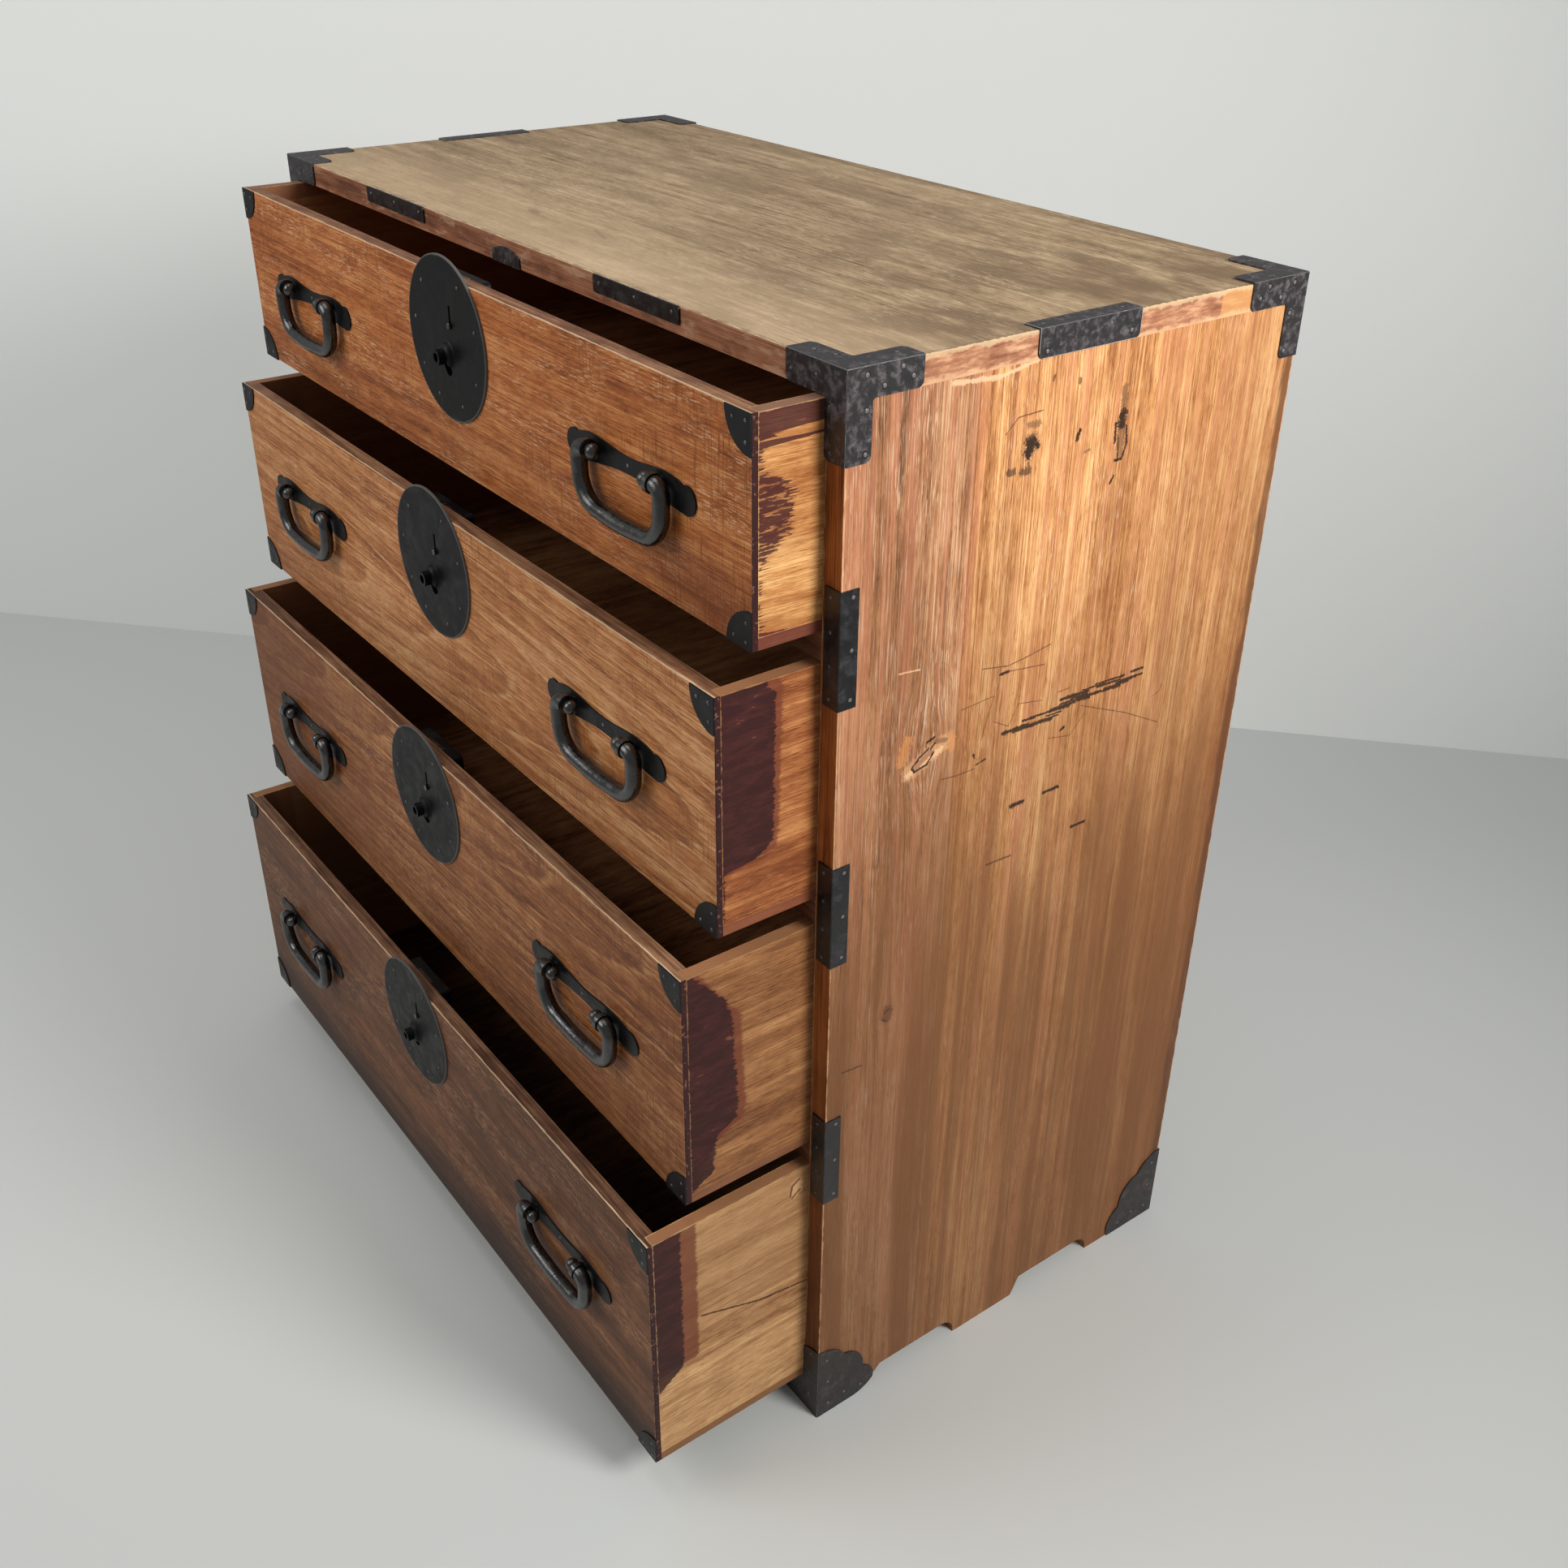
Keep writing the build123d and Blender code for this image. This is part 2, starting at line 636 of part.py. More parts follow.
        # Case behind the drawer front, with a channel for the bolt and a chamber where the key turns
        case_top = brim - case_top_drop
        bolt_foot = brim - bolt_top_drop - bolt_height
        with BuildSketch(facing_front(back_of_front)):
            with Locations((lock_x, case_top)):
                RectangleRounded(case_width, case_height, case_corner, align=(Align.CENTER, Align.MAX))
        extrude(amount=-case_depth)
        with BuildSketch(facing_front(back_of_front)):
            with Locations((lock_x, bolt_foot - bolt_clearance)):
                channel = bolt_width + 2 * bolt_clearance
                Rectangle(channel, bolt_height, align=(Align.CENTER, Align.MIN))
        extrude(amount=-bolt_thickness - bolt_clearance, mode=Mode.SUBTRACT)
        with BuildSketch(facing_front(back_of_front)):
            with Locations((lock_x, key_z)):
                Circle(key_chamber_radius)
            with Locations((lock_x, key_z)):
                Rectangle(2 * key_chamber_radius, bolt_foot - key_z, align=(Align.CENTER, Align.MIN))
        extrude(amount=-case_depth + key_chamber_wall, mode=Mode.SUBTRACT)
    write(lock, f"{name}_lock_plate")

    with BuildPart() as bolt:
        with BuildSketch(facing_front(back_of_front + bolt_clearance / 2)):
            with Locations((lock_x, bolt_foot)):
                Rectangle(bolt_width, bolt_height, align=(Align.CENTER, Align.MIN))
        extrude(amount=-bolt_thickness)
        fillet(bolt.edges().filter_by(Axis.Y).group_by(Axis.Z)[-1], 2 * bolt_clearance)
        with BuildSketch(facing_front(back_of_front + bolt_clearance / 2)):
            with Locations((nub_x, lock_z + nub_rise)):
                Circle(nub_stem)
        extrude(amount=drawer_front + lock_plate + bolt_clearance + nub_head_height / 2)
        with BuildSketch(facing_front(face - lock_plate - bolt_clearance)):
            with Locations((nub_x, lock_z + nub_rise)):
                Circle(nub_head)
        extrude(amount=nub_head_height)
        fillet(bolt.faces().sort_by(Axis.Y)[0].edges(), nub_head_height / 3)
    write(bolt, f"{name}_lock_bolt")

    with BuildPart() as handle_plates:
        for side in (-1, 1):
            plate_plane = Plane((side * handle_x, face, handle_z), x_dir=(1, 0, 0), z_dir=(0, -1, 0))
            extrude(plate_plane * handle_outline.sketch, handle_plate)
    write(handle_plates, f"{name}_handle_plates")

    with BuildPart() as handle_posts:
        for post_x in post_places:
            add(handle_post(post_x, face, handle_z))
    write(handle_posts, f"{name}_handle_posts")

    for side, side_name in ((-1, "left"), (1, "right")):
        hung_bail = Location((side * handle_x, face - bail_standoff, handle_z)) * bail.part
        hung_bail.label = f"{name}_{side_name}_bail"
        export_step(hung_bail, f"parts/{hung_bail.label}.step")
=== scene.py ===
"""Looks of the isho clothing chest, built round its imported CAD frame. Metres, in the row frame.

Colours are written as 8-bit sRGB values. In a CAD node and in every piece made here, Object texture
coordinates are the row frame's own at rest, so stains, knots and worn edges are placed in metres."""

import math
import random

import bmesh
import bpy
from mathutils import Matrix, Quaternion, Vector


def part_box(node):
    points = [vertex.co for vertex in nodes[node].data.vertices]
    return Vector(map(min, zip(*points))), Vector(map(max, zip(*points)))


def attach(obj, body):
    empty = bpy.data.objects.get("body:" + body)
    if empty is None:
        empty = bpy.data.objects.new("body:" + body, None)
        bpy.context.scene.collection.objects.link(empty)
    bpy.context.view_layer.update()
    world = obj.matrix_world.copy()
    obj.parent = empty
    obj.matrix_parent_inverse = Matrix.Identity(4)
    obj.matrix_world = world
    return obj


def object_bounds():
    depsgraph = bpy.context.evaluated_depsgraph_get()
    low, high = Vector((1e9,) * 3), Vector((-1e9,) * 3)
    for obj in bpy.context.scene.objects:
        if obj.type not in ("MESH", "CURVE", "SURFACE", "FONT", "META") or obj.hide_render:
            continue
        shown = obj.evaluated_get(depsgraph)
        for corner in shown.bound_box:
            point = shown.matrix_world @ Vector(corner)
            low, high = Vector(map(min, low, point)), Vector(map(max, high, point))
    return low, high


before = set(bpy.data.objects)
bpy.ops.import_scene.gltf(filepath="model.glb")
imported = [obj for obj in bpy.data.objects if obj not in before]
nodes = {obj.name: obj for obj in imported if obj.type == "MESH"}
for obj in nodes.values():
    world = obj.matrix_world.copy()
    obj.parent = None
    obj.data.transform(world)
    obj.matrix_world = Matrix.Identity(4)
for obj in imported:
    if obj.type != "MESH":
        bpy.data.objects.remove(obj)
cad_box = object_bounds()
dice = random.Random(11)

AXES = "XYZ"
MM = 0.001
DRAWERS = ("drawer_1", "drawer_2", "drawer_3", "drawer_4")

side_low, side_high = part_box("right_side_board")
top_low, top_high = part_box("top_board")
front_y = side_low.y
STRAP_MIDDLES = (0.7944, 0.5699, 0.3202)


# Camera: the photograph's place, direction, roll and lens

CAMERA_PLACE = (1.2334, -0.857, 1.2874)
CAMERA_DIRECTION = (-0.68731, 0.51534, -0.51188)
CAMERA_ROLL = math.radians(0.604)
CAMERA_LENS = 37.24
SENSOR = 36.0


def make_camera():
    data = bpy.data.cameras.new("photo_camera")
    data.lens = CAMERA_LENS
    data.sensor_width = SENSOR
    camera = bpy.data.objects.new("photo_camera", data)
    camera.location = CAMERA_PLACE
    camera.rotation_mode = "QUATERNION"
    level = Vector(CAMERA_DIRECTION).to_track_quat("-Z", "Y")
    camera.rotation_quaternion = level @ Quaternion((0, 0, 1), CAMERA_ROLL)
    bpy.context.scene.collection.objects.link(camera)
    bpy.context.scene.camera = camera
    bpy.context.scene.view_settings.view_transform = "Standard"


# Nodes


def rgb(red, green, blue):
    """Linear colour of an 8-bit sRGB one."""
    shares = [value / 255 for value in (red, green, blue)]
    return tuple(s / 12.92 if s <= 0.04045 else ((s + 0.055) / 1.055) ** 2.4 for s in shares) + (1.0,)


class Finish:
    """A material, with short calls for its nodes. A value is a number, a colour, a vector or a socket."""

    def __init__(self, name):
        self.material = bpy.data.materials.new(name)
        self.material.use_nodes = True
        self.tree = self.material.node_tree
        self.tree.nodes.clear()
        self.shader = self.tree.nodes.new("ShaderNodeBsdfPrincipled")
        output = self.tree.nodes.new("ShaderNodeOutputMaterial")
        self.tree.links.new(self.shader.outputs[0], output.inputs["Surface"])
        self.place = self.tree.nodes.new("ShaderNodeTexCoord").outputs["Object"]
        split = self.node("SeparateXYZ", [self.place])
        self.axis = dict(zip(AXES, split.outputs))

    def node(self, kind, values, **settings):
        """A new node with its first inputs set or linked in order. None leaves an input as it is."""
        made = self.tree.nodes.new("ShaderNode" + kind)
        for key, value in settings.items():
            setattr(made, key, value)
        sockets = [socket for socket in made.inputs if socket.enabled]
        for socket, value in zip(sockets, values):
            if isinstance(value, bpy.types.NodeSocket):
                self.tree.links.new(value, socket)
            elif value is not None:
                socket.default_value = value
        return made

    def calc(self, operation, *values):
        return self.node("Math", values, operation=operation).outputs[0]

    def times(self, first, second):
        return self.calc("MULTIPLY", first, second)

    def apart(self, first, second):
        """How far two values lie apart."""
        return self.calc("ABSOLUTE", self.calc("SUBTRACT", first, second))

    def vector(self, operation, *values):
        made = self.node("VectorMath", values, operation=operation)
        return next(socket for socket in made.outputs if socket.enabled)

    def step(self, value, low, high, most=1.0, least=0.0):
        """Smooth step from least at low to most at high. Low may be above high."""
        values = (value, low, high, least, most)
        return self.node("MapRange", values, interpolation_type="SMOOTHSTEP").outputs[0]

    def noise(self, where, scale=1.0, detail=2.0, roughness=0.5, distortion=0.0):
        values = (where, scale, detail, roughness, None, distortion)
        return self.node("TexNoise", values).outputs[0]

    def stretched(self, along, over, through, sizes, seed=0.0):
        """Coordinates for a noise whose features have about these sizes in metres."""
        place = self.node("CombineXYZ", (along, over, through)).outputs[0]
        scaled = self.vector("DIVIDE", place, tuple(sizes))
        return self.vector("ADD", scaled, (seed, 1.7 * seed, 2.3 * seed))

    def mix(self, first, second, share, blend="MIX"):
        made = self.node("Mix", (share, first, second), data_type="RGBA", blend_type=blend)
        made.clamp_factor = True
        return next(socket for socket in made.outputs if socket.enabled)

    def paint(self, colour, share, blend="MIX"):
        """Mixes a colour into the piece's own by this share."""
        self.colour = self.mix(self.colour, colour, share, blend)

    def ramp(self, value, *stops):
        """Colour ramp through (position, colour) stops."""
        made = self.node("ValToRGB", (value,))
        elements = made.color_ramp.elements
        while len(elements) < len(stops):
            elements.new(0.5)
        for element, (position, colour) in zip(elements, stops):
            element.position = position
            element.color = colour
        return made.outputs[0]

    def segment(self, start, end):
        """Distance from the line between two points."""
        start, end = Vector(start), Vector(end)
        run = end - start
        offset = self.vector("SUBTRACT", self.place, tuple(start))
        along = self.vector("DOT_PRODUCT", offset, tuple(run))
        share = self.node("Clamp", (self.calc("DIVIDE", along, run.length_squared),)).outputs[0]
        return self.vector("DISTANCE", offset, self.vector("SCALE", tuple(run), share))

    def edge(self, low, high):
        """Distance from the nearest edge of a box, for a point on its faces."""
        gaps = []
        for letter, least, most in zip(AXES, low, high):
            below = self.calc("SUBTRACT", self.axis[letter], least)
            above = self.calc("SUBTRACT", most, self.axis[letter])
            gaps.append(self.calc("MINIMUM", below, above))
        smaller = self.calc("MINIMUM", gaps[0], gaps[1])
        larger = self.calc("MAXIMUM", gaps[0], gaps[1])
        return self.calc("MAXIMUM", smaller, self.calc("MINIMUM", larger, gaps[2]))

    def profile(self, value, *points):
        """Value read off straight lines through (value, result) points, which rise in value."""
        starts, results = zip(*points)
        low, high = starts[0], starts[-1]
        least, most = min(results), max(results)
        share = self.node("MapRange", (value, low, high, 0.0, 1.0)).outputs[0]
        made = self.node("FloatCurve", (1.0, share))
        line = made.mapping.curves[0]
        while len(line.points) < len(points):
            line.points.new(0.5, 0.5)
        for knot, start, result in zip(line.points, starts, results):
            knot.location = ((start - low) / (high - low), (result - least) / (most - least))
            knot.handle_type = "VECTOR"
        made.mapping.update()
        return self.calc("MULTIPLY_ADD", made.outputs[0], most - least, least)

    def nearest(self, places, mirrored=""):
        """Distance from the nearest of these points, with the named axes folded at 0."""
        parts = [self.axis[a] if a not in mirrored else self.calc("ABSOLUTE", self.axis[a]) for a in AXES]
        where = self.node("CombineXYZ", parts).outputs[0]
        gap = None
        for place in places:
            apart = self.vector("DISTANCE", where, tuple(place))
            gap = apart if gap is None else self.calc("MINIMUM", gap, apart)
        return gap

    def bump(self, height, depth):
        """Relief of this depth, at full strength."""
        made = self.node("Bump", (1.0, depth, None, height))
        self.tree.links.new(made.outputs[0], self.shader.inputs["Normal"])

    def close(self, colour, roughness, **plain):
        """Links the colour and roughness, and sets the shader's plain values."""
        for name, value in (("Base Color", colour), ("Roughness", roughness)):
            socket = self.shader.inputs[name]
            if isinstance(value, bpy.types.NodeSocket):
                self.tree.links.new(value, socket)
            else:
                socket.default_value = value
        for name, value in plain.items():
            self.shader.inputs[name.replace("_", " ")].default_value = value
        return self.material


def put_on(material, *names):
    for name in names:
        slots = nodes[name].data.materials
        for index in range(len(slots)):
            slots[index] = material


# Wood


class Board(Finish):
    """Wood sawn from a log whose pith runs nearly along the grain, beside the board's face.

    The rings are measured from that pith, so they show as straight lines far from it and as nested arches
    over it. Fibres and rings flow round the knots. A joint parts it from a second board below that place
    across the grain, where self.second is 1."""

    def __init__(self, name, grain, across, seed, pith, tilt, ring, sway=2 * MM, knots=(), mirrored=None,
                 joint=None):
        super().__init__(name)
        if mirrored:
            self.axis[mirrored] = self.calc("ABSOLUTE", self.axis[mirrored])
        through = (set(AXES) - {grain, across}).pop()
        self.along = self.axis[grain]
        self.over = self.axis[across]
        self.through = self.axis[through]
        self.seed = seed
        self.flow = self.over
        if joint is not None:
            self.second = self.step(self.over, joint + 0.15 * MM, joint - 0.15 * MM)
            self.through = self.calc("MULTIPLY_ADD", self.second, 0.4, self.through)
        slow = self.calc("SUBTRACT", self.fibre((0.40, 0.09, 0.09), 1), 0.5)
        self.flow = self.calc("MULTIPLY_ADD", slow, 6 * sway, self.over)
        for knot_along, knot_over, size in knots:
            away = self.calc("SUBTRACT", self.over, knot_over)
            beside = self.calc("SUBTRACT", self.along, knot_along)
            long_way = self.calc("POWER", self.calc("DIVIDE", beside, 3.4 * size), 2.0)
            short_way = self.calc("POWER", self.calc("DIVIDE", away, 1.5 * size), 2.0)
            spread = self.calc("ADD", long_way, short_way)
            swell = self.calc("EXPONENT", self.times(spread, -1.0))
            pushed = self.times(away, swell)
            self.flow = self.calc("MULTIPLY_ADD", pushed, -0.8, self.flow)
        pith_over, pith_depth = pith
        beside = self.calc("SUBTRACT", self.flow, pith_over)
        depth = self.calc("ADD", self.through, pith_depth)
        depth = self.calc("MULTIPLY_ADD", self.along, tilt, depth)
        squares = self.calc("ADD", self.calc("POWER", beside, 2.0), self.calc("POWER", depth, 2.0))
        self.ring = self.calc("FRACT", self.calc("DIVIDE", self.calc("SQRT", squares), ring))

    def fibre(self, sizes, detail=2.0, shift=0.0, roughness=0.5):
        """Noise whose features have these sizes along the grain, across it and through the board."""
        where = self.stretched(self.along, self.flow, self.through, sizes, self.seed + shift)
        return self.noise(where, detail=detail, roughness=roughness)

    def figure(self, dark, middle, light, rings=0.2, fine=1.0, streak=0.6, band=0.6, broad=0.7, mottle=0.4):
        """Sets the board's colour from its rings, fibres, streaks, bands and mottles, by their shares."""
        grey = [(value,) * 3 + (1.0,) for value in (0.15, 0.5, 0.95, 0.15)]
        late = self.ramp(self.ring, *zip((0.0, 0.6, 0.9, 0.98), grey))
        self.fine = self.fibre((0.130, 0.0011, 0.0011), 3, 3.1, 0.6)
        self.streak = self.fibre((0.34, 0.0044, 0.0044), 3, 5.7, 0.6)
        tone = self.calc("MULTIPLY_ADD", self.calc("SUBTRACT", late, 0.5), -rings, 0.5)
        layers = (
            (self.fine, fine),
            (self.streak, streak),
            (self.fibre((0.60, 0.014, 0.014), 2, 9.4), band),
            (self.fibre((0.40, 0.050, 0.050), 2, 7.9), broad),
            (self.fibre((0.030, 0.011, 0.011), 3, 13.7, 0.6), mottle),
        )
        for layer, share in layers:
            tone = self.calc("MULTIPLY_ADD", self.calc("SUBTRACT", layer, 0.5), share, tone)
        self.tone = tone
        self.colour = self.ramp(tone, (0.16, dark), (0.5, middle), (0.84, light))
        pores = self.fibre((0.010, 0.0006, 0.0006), 1, 11.3)
        self.paint(dark, self.step(pores, 0.60, 0.70, 0.6), "MULTIPLY")
        self.paint(light, self.step(pores, 0.40, 0.30, 0.45))

    def streaks(self, tint, sizes, low, high, amount, shift):
        """A tint where a noise along the grain lies above low."""
        self.paint(tint, self.step(self.fibre(sizes, 2, shift, 0.55), low, high, amount))

    def worn(self, tint, low, high, reach=4 * MM, amount=0.8, shift=17.0):
        """Wear of a tint along the box's edges, broken up by noise."""
        rough = self.fibre((0.014, 0.004, 0.004), 3, shift, 0.65)
        gap = self.calc("ADD", self.edge(low, high), 0.9 * reach)
        ragged = self.calc("MULTIPLY_ADD", rough, -2.6 * reach, gap)
        self.paint(tint, self.step(ragged, 0.25 * reach, -0.25 * reach, amount))

    def scuffed(self, tint, amount=0.5, size=(0.011, 0.0009, 0.0009), shift=23.0, start=0.6):
        """Short pale scratches along the grain, in clusters."""
        dash = self.fibre(size, 2, shift, 0.55)
        cluster = self.fibre((0.11, 0.03, 0.03), 2, shift + 2)
        share = self.times(self.step(dash, start, start + 0.08), self.step(cluster, 0.42, 0.62))
        self.paint(tint, self.times(share, amount))

    def face(self, letter, value, inward, depth=0.6 * MM):
        """1 on the face at this value of an axis, 0 inside by more than depth. inward is 1 or -1."""
        return self.step(self.axis[letter], value + inward * depth, value + inward * 0.4 * depth)

    def ends(self, end_x):
        """1 on the two faces that look along X, at this distance from the middle."""
        return self.step(self.calc("ABSOLUTE", self.axis["X"]), end_x - 0.6 * MM, end_x - 0.3 * MM)

    def finished(self, roughness=0.55, depth=0.25 * MM, **plain):
        """Sets the shader, with relief from the fibres, streaks and rings."""
        relief = self.calc("MULTIPLY_ADD", self.fine, 0.6, self.times(self.ring, 0.3))
        relief = self.calc("MULTIPLY_ADD", self.streak, 0.6, relief)
        self.bump(relief, depth)
        values = {"Specular_IOR_Level": 0.32, **plain}
        return self.close(self.colour, roughness, **values)


def grit(board, size=1.4 * MM):
    """Noise that makes strokes ragged."""
    fine = board.noise(board.place, 1 / size, 2.0, 0.6)
    coarse = board.noise(board.place, 0.25 / size, 2.0, 0.5)
    return board.calc("MULTIPLY_ADD", fine, 1.6, coarse)


def gouged(board, rough, tint, amount, strokes):
    """Ragged strokes of one tint: each is (half width, *points), and bends at its inner points.

    Distances are in half widths. The roughness averages 2, so a stroke ends about one half width out."""
    nearest = None
    for half_width, *points in strokes:
        for start, end in zip(points, points[1:]):
            gap = board.calc("DIVIDE", board.segment(start, end), half_width)
            nearest = gap if nearest is None else board.calc("MINIMUM", nearest, gap)
    ragged = board.calc("MULTIPLY_ADD", rough, 1.5, nearest)
    board.paint(tint, board.step(ragged, 3.5, 2.7, amount))


# Marks on the top board, in mm right (X) and back (Y): half width, then the stroke's points
TOP_MARKS = (
    (3.0, (-82, -153), (-70, -155)),
    (0.5, (135, -20), (150, 0)),
    (0.9, (20, -150), (50, -158)),
    (0.5, (330, 140), (372, 128)),
    (0.5, (290, -150), (300, -120)),
)


def top_wood():
    board = Board("top_wood_worn", "X", "Y", 3.0, (0.02, 0.16 - top_high.z), 0.05, 9 * MM, 1.5 * MM)
    olive = (rgb(112, 90, 64), rgb(161, 136, 104), rgb(194, 170, 136))
    board.figure(*olive, 0.12, 0.9, 0.45, 0.5, 0.6, 0.7)
    board.streaks(rgb(98, 76, 52), (0.10, 0.0016, 0.0016), 0.58, 0.68, 0.65, 41.0)
    board.streaks(rgb(128, 108, 80), (0.16, 0.05, 0.05), 0.50, 0.66, 0.5, 47.0)
    smudge = board.fibre((0.09, 0.035, 0.035), 4, 49.0, 0.65)
    to_right = board.step(board.axis["X"], 0.0, 0.42, 0.85, 0.10)
    dirt = board.times(board.step(smudge, 0.40, 0.62), to_right)
    board.paint(rgb(112, 90, 66), dirt)
    board.scuffed(rgb(214, 196, 166), 0.6)
    marks = []
    for half_width, *points in TOP_MARKS:
        marks.append((half_width * MM, *((x * MM, y * MM, top_high.z) for x, y in points)))
    gouged(board, grit(board), rgb(78, 58, 42), 0.6, marks)
    crossing = board.stretched(board.over, board.along, 0.0, (0.05, 0.0014, 1.0), 55.0)
    crossing = board.step(board.noise(crossing, 1.0, 2.0, 0.6), 0.62, 0.70, 0.35)
    places = board.step(board.fibre((0.12, 0.12, 0.12), 1, 56.0), 0.5, 0.6)
    board.paint(rgb(92, 72, 52), board.times(crossing, places))
    frontward = board.step(board.axis["Y"], -0.08, -0.20, 0.4)
    board.paint(rgb(204, 176, 142), frontward)
    board.worn(rgb(112, 88, 62), top_low, top_high, 7 * MM, 0.5, 19.0)
    board.worn(rgb(210, 188, 152), top_low, top_high, 2.6 * MM, 0.75)
    tones = ((0.15, rgb(96, 56, 36)), (0.5, rgb(150, 96, 66)), (0.85, rgb(188, 136, 102)))
    reddish = board.ramp(board.tone, *tones)
    chalky = board.fibre((0.05, 0.012, 0.012), 4, 51.0, 0.65)
    reddish = board.mix(reddish, rgb(200, 158, 128), board.step(chalky, 0.53, 0.64, 0.65))
    reddish = board.mix(reddish, rgb(84, 50, 34), board.step(chalky, 0.44, 0.36, 0.5))
    board.paint(reddish, board.face("Y", front_y, 1))
    sizes = (0.022, 0.005, 1.0)
    grain_end = board.noise(board.stretched(board.axis["Y"], board.axis["Z"], 0.0, sizes), 1.0, 5.0, 0.65)
    tones = ((0.32, rgb(116, 68, 46)), (0.5, rgb(160, 108, 78)), (0.68, rgb(204, 158, 120)))
    pinkish = board.ramp(grain_end, *tones)
    patch = board.step(board.axis["Y"], 0.128, 0.130)
    pinkish = board.mix(pinkish, rgb(196, 142, 84), board.times(patch, 0.7))
    chip = board.noise(board.stretched(board.axis["Y"], 0.0, 0.0, (0.022, 1.0, 1.0)), 1.0, 4.0, 0.65)
    chipped = board.calc("MULTIPLY_ADD", chip, 0.016, board.axis["Z"])
    torn = board.step(chipped, top_low.z + 12 * MM, top_low.z + 9 * MM, 0.6)
    pinkish = board.mix(pinkish, rgb(216, 172, 132), torn)
    crumbled = board.step(chipped, top_high.z + 4 * MM, top_high.z + 6 * MM, 0.7)
    pinkish = board.mix(pinkish, rgb(196, 168, 130), crumbled)
    board.paint(pinkish, board.ends(top_high.x))
    put_on(board.finished(0.62), "top_board")


# Places on the right side board, in metres back (Y) and up (Z)
SIDE_JOINT = -0.110
SIDE_KNOTS = ((0.685, -0.139, 0.013), (0.4500, -0.1650, 0.007))

# Marks on it, in mm back (Y) and up (Z), painted in this order: tint, amount, then strokes as above
SIDE_MARKS = (
    # round the long knot, and the knot's pale wood
    (rgb(206, 156, 112), 0.55, ((6.0, (-155, 675), (-122, 690)),)),
    (rgb(206, 136, 78), 0.5, ((4.5, (-158, 703), (-163, 687)), (2.8, (-116, 696), (-114, 683)))),
    (rgb(226, 186, 142), 0.6, ((2.0, (-157, 673), (-124, 686)), (0.6, (-170, 762), (-150, 760)))),
    # ragged lower edge of the torn patch at the top
    (rgb(226, 184, 146), 0.75, ((1.6, (-135, 967), (-93, 964)), (1.2, (-93, 964), (-57, 970)))),
    # brown wood in the knots and round the holes
    (rgb(150, 104, 76), 0.85, ((2.8, (-149, 678), (-136, 686)),)),
    (rgb(98, 60, 40), 0.8, ((5.0, (-165, 448), (-164, 453)),)),
    (rgb(110, 76, 52), 0.7, (
        (2.6, (34, 935), (35, 914)), (3.4, (34, 905), (36, 883)), (5.6, (-58, 912), (-59, 906)),
        (2.4, (-61, 924), (-52, 924)), (1.7, (-130, 694), (-120, 692)), (1.0, (-2, 893), (3, 894)),
    )),
    # holes, dents and the dark rims of the knot
    (rgb(34, 22, 17), 0.94, (
        (4.2, (-58, 912), (-59, 906)), (1.8, (-52, 909), (-50, 907)), (2.0, (-61, 905), (-60, 901)),
        (1.3, (-11, 904), (-11, 907), (-9, 911)), (3.8, (35, 915), (34, 908)),
        (0.9, (28, 909), (29, 894)), (0.7, (40, 905), (42, 892), (39, 881)),
        (1.1, (32, 880), (38, 880)), (0.5, (32, 899), (34, 882)), (0.8, (32, 868), (29, 863)),
        (1.0, (-139, 696), (-132, 698)), (0.8, (-135, 689), (-131, 693)),
        (0.8, (-153, 678), (-150, 674), (-138, 677), (-132, 685)),
        (0.8, (-153, 678), (-146, 685), (-137, 690)), (1.7, (-44, 606), (-31, 606)),
        (1.3, (-7, 606), (9, 606)), (1.2, (31, 559), (46, 559)), (1.1, (-68, 732), (-60, 732)),
        (1.1, (4, 660), (8, 662)), (0.8, (-90, 669), (-89, 666)), (0.7, (-86, 659), (-77, 661)),
    )),
    # shallower dents, and the rim of the small knot
    (rgb(62, 42, 32), 0.75, (
        (2.4, (-77, 893), (-73, 893)), (2.6, (-64, 891), (-58, 891)), (1.0, (-59, 897), (-58, 894)),
        (1.3, (-14, 947), (-14, 949)), (0.9, (-41, 953), (-40, 956)), (0.9, (-168, 452), (-163, 455)),
        (0.9, (-169, 447), (-166, 444)), (0.8, (-66, 558), (-39, 557)), (0.8, (-210, 411), (-190, 409)),
    )),
    # fine scratches
    (rgb(92, 56, 36), 0.8, (
        (0.45, (-88, 742), (-61, 737), (-41, 739), (-17, 743)), (0.4, (-60, 732), (-22, 727)),
        (0.4, (26, 676), (80, 653), (124, 630)), (0.35, (-71, 692), (-55, 683), (-46, 700), (-20, 695)),
        (0.35, (-106, 713), (-73, 715), (-84, 677)), (0.35, (-8, 657), (1, 655), (16, 652), (31, 668)),
        (0.4, (112, 658), (120, 661), (122, 667)), (0.5, (-122, 658), (-106, 656), (-88, 656)),
        (0.45, (-83, 922), (-72, 932), (-49, 933)), (0.4, (-3, 697), (10, 697)),
    )),
)


# The gouge: from and to in mm back and up, its strokes, how far they stray and how they tilt, and then
# the strokes' half lengths and half widths
GOUGE = ((-52, 678), (91, 689), 26, 5.0, -0.04)
STROKE_REACHES = (6.0, 15.0)
STROKE_WIDTHS = (0.7, 1.6)


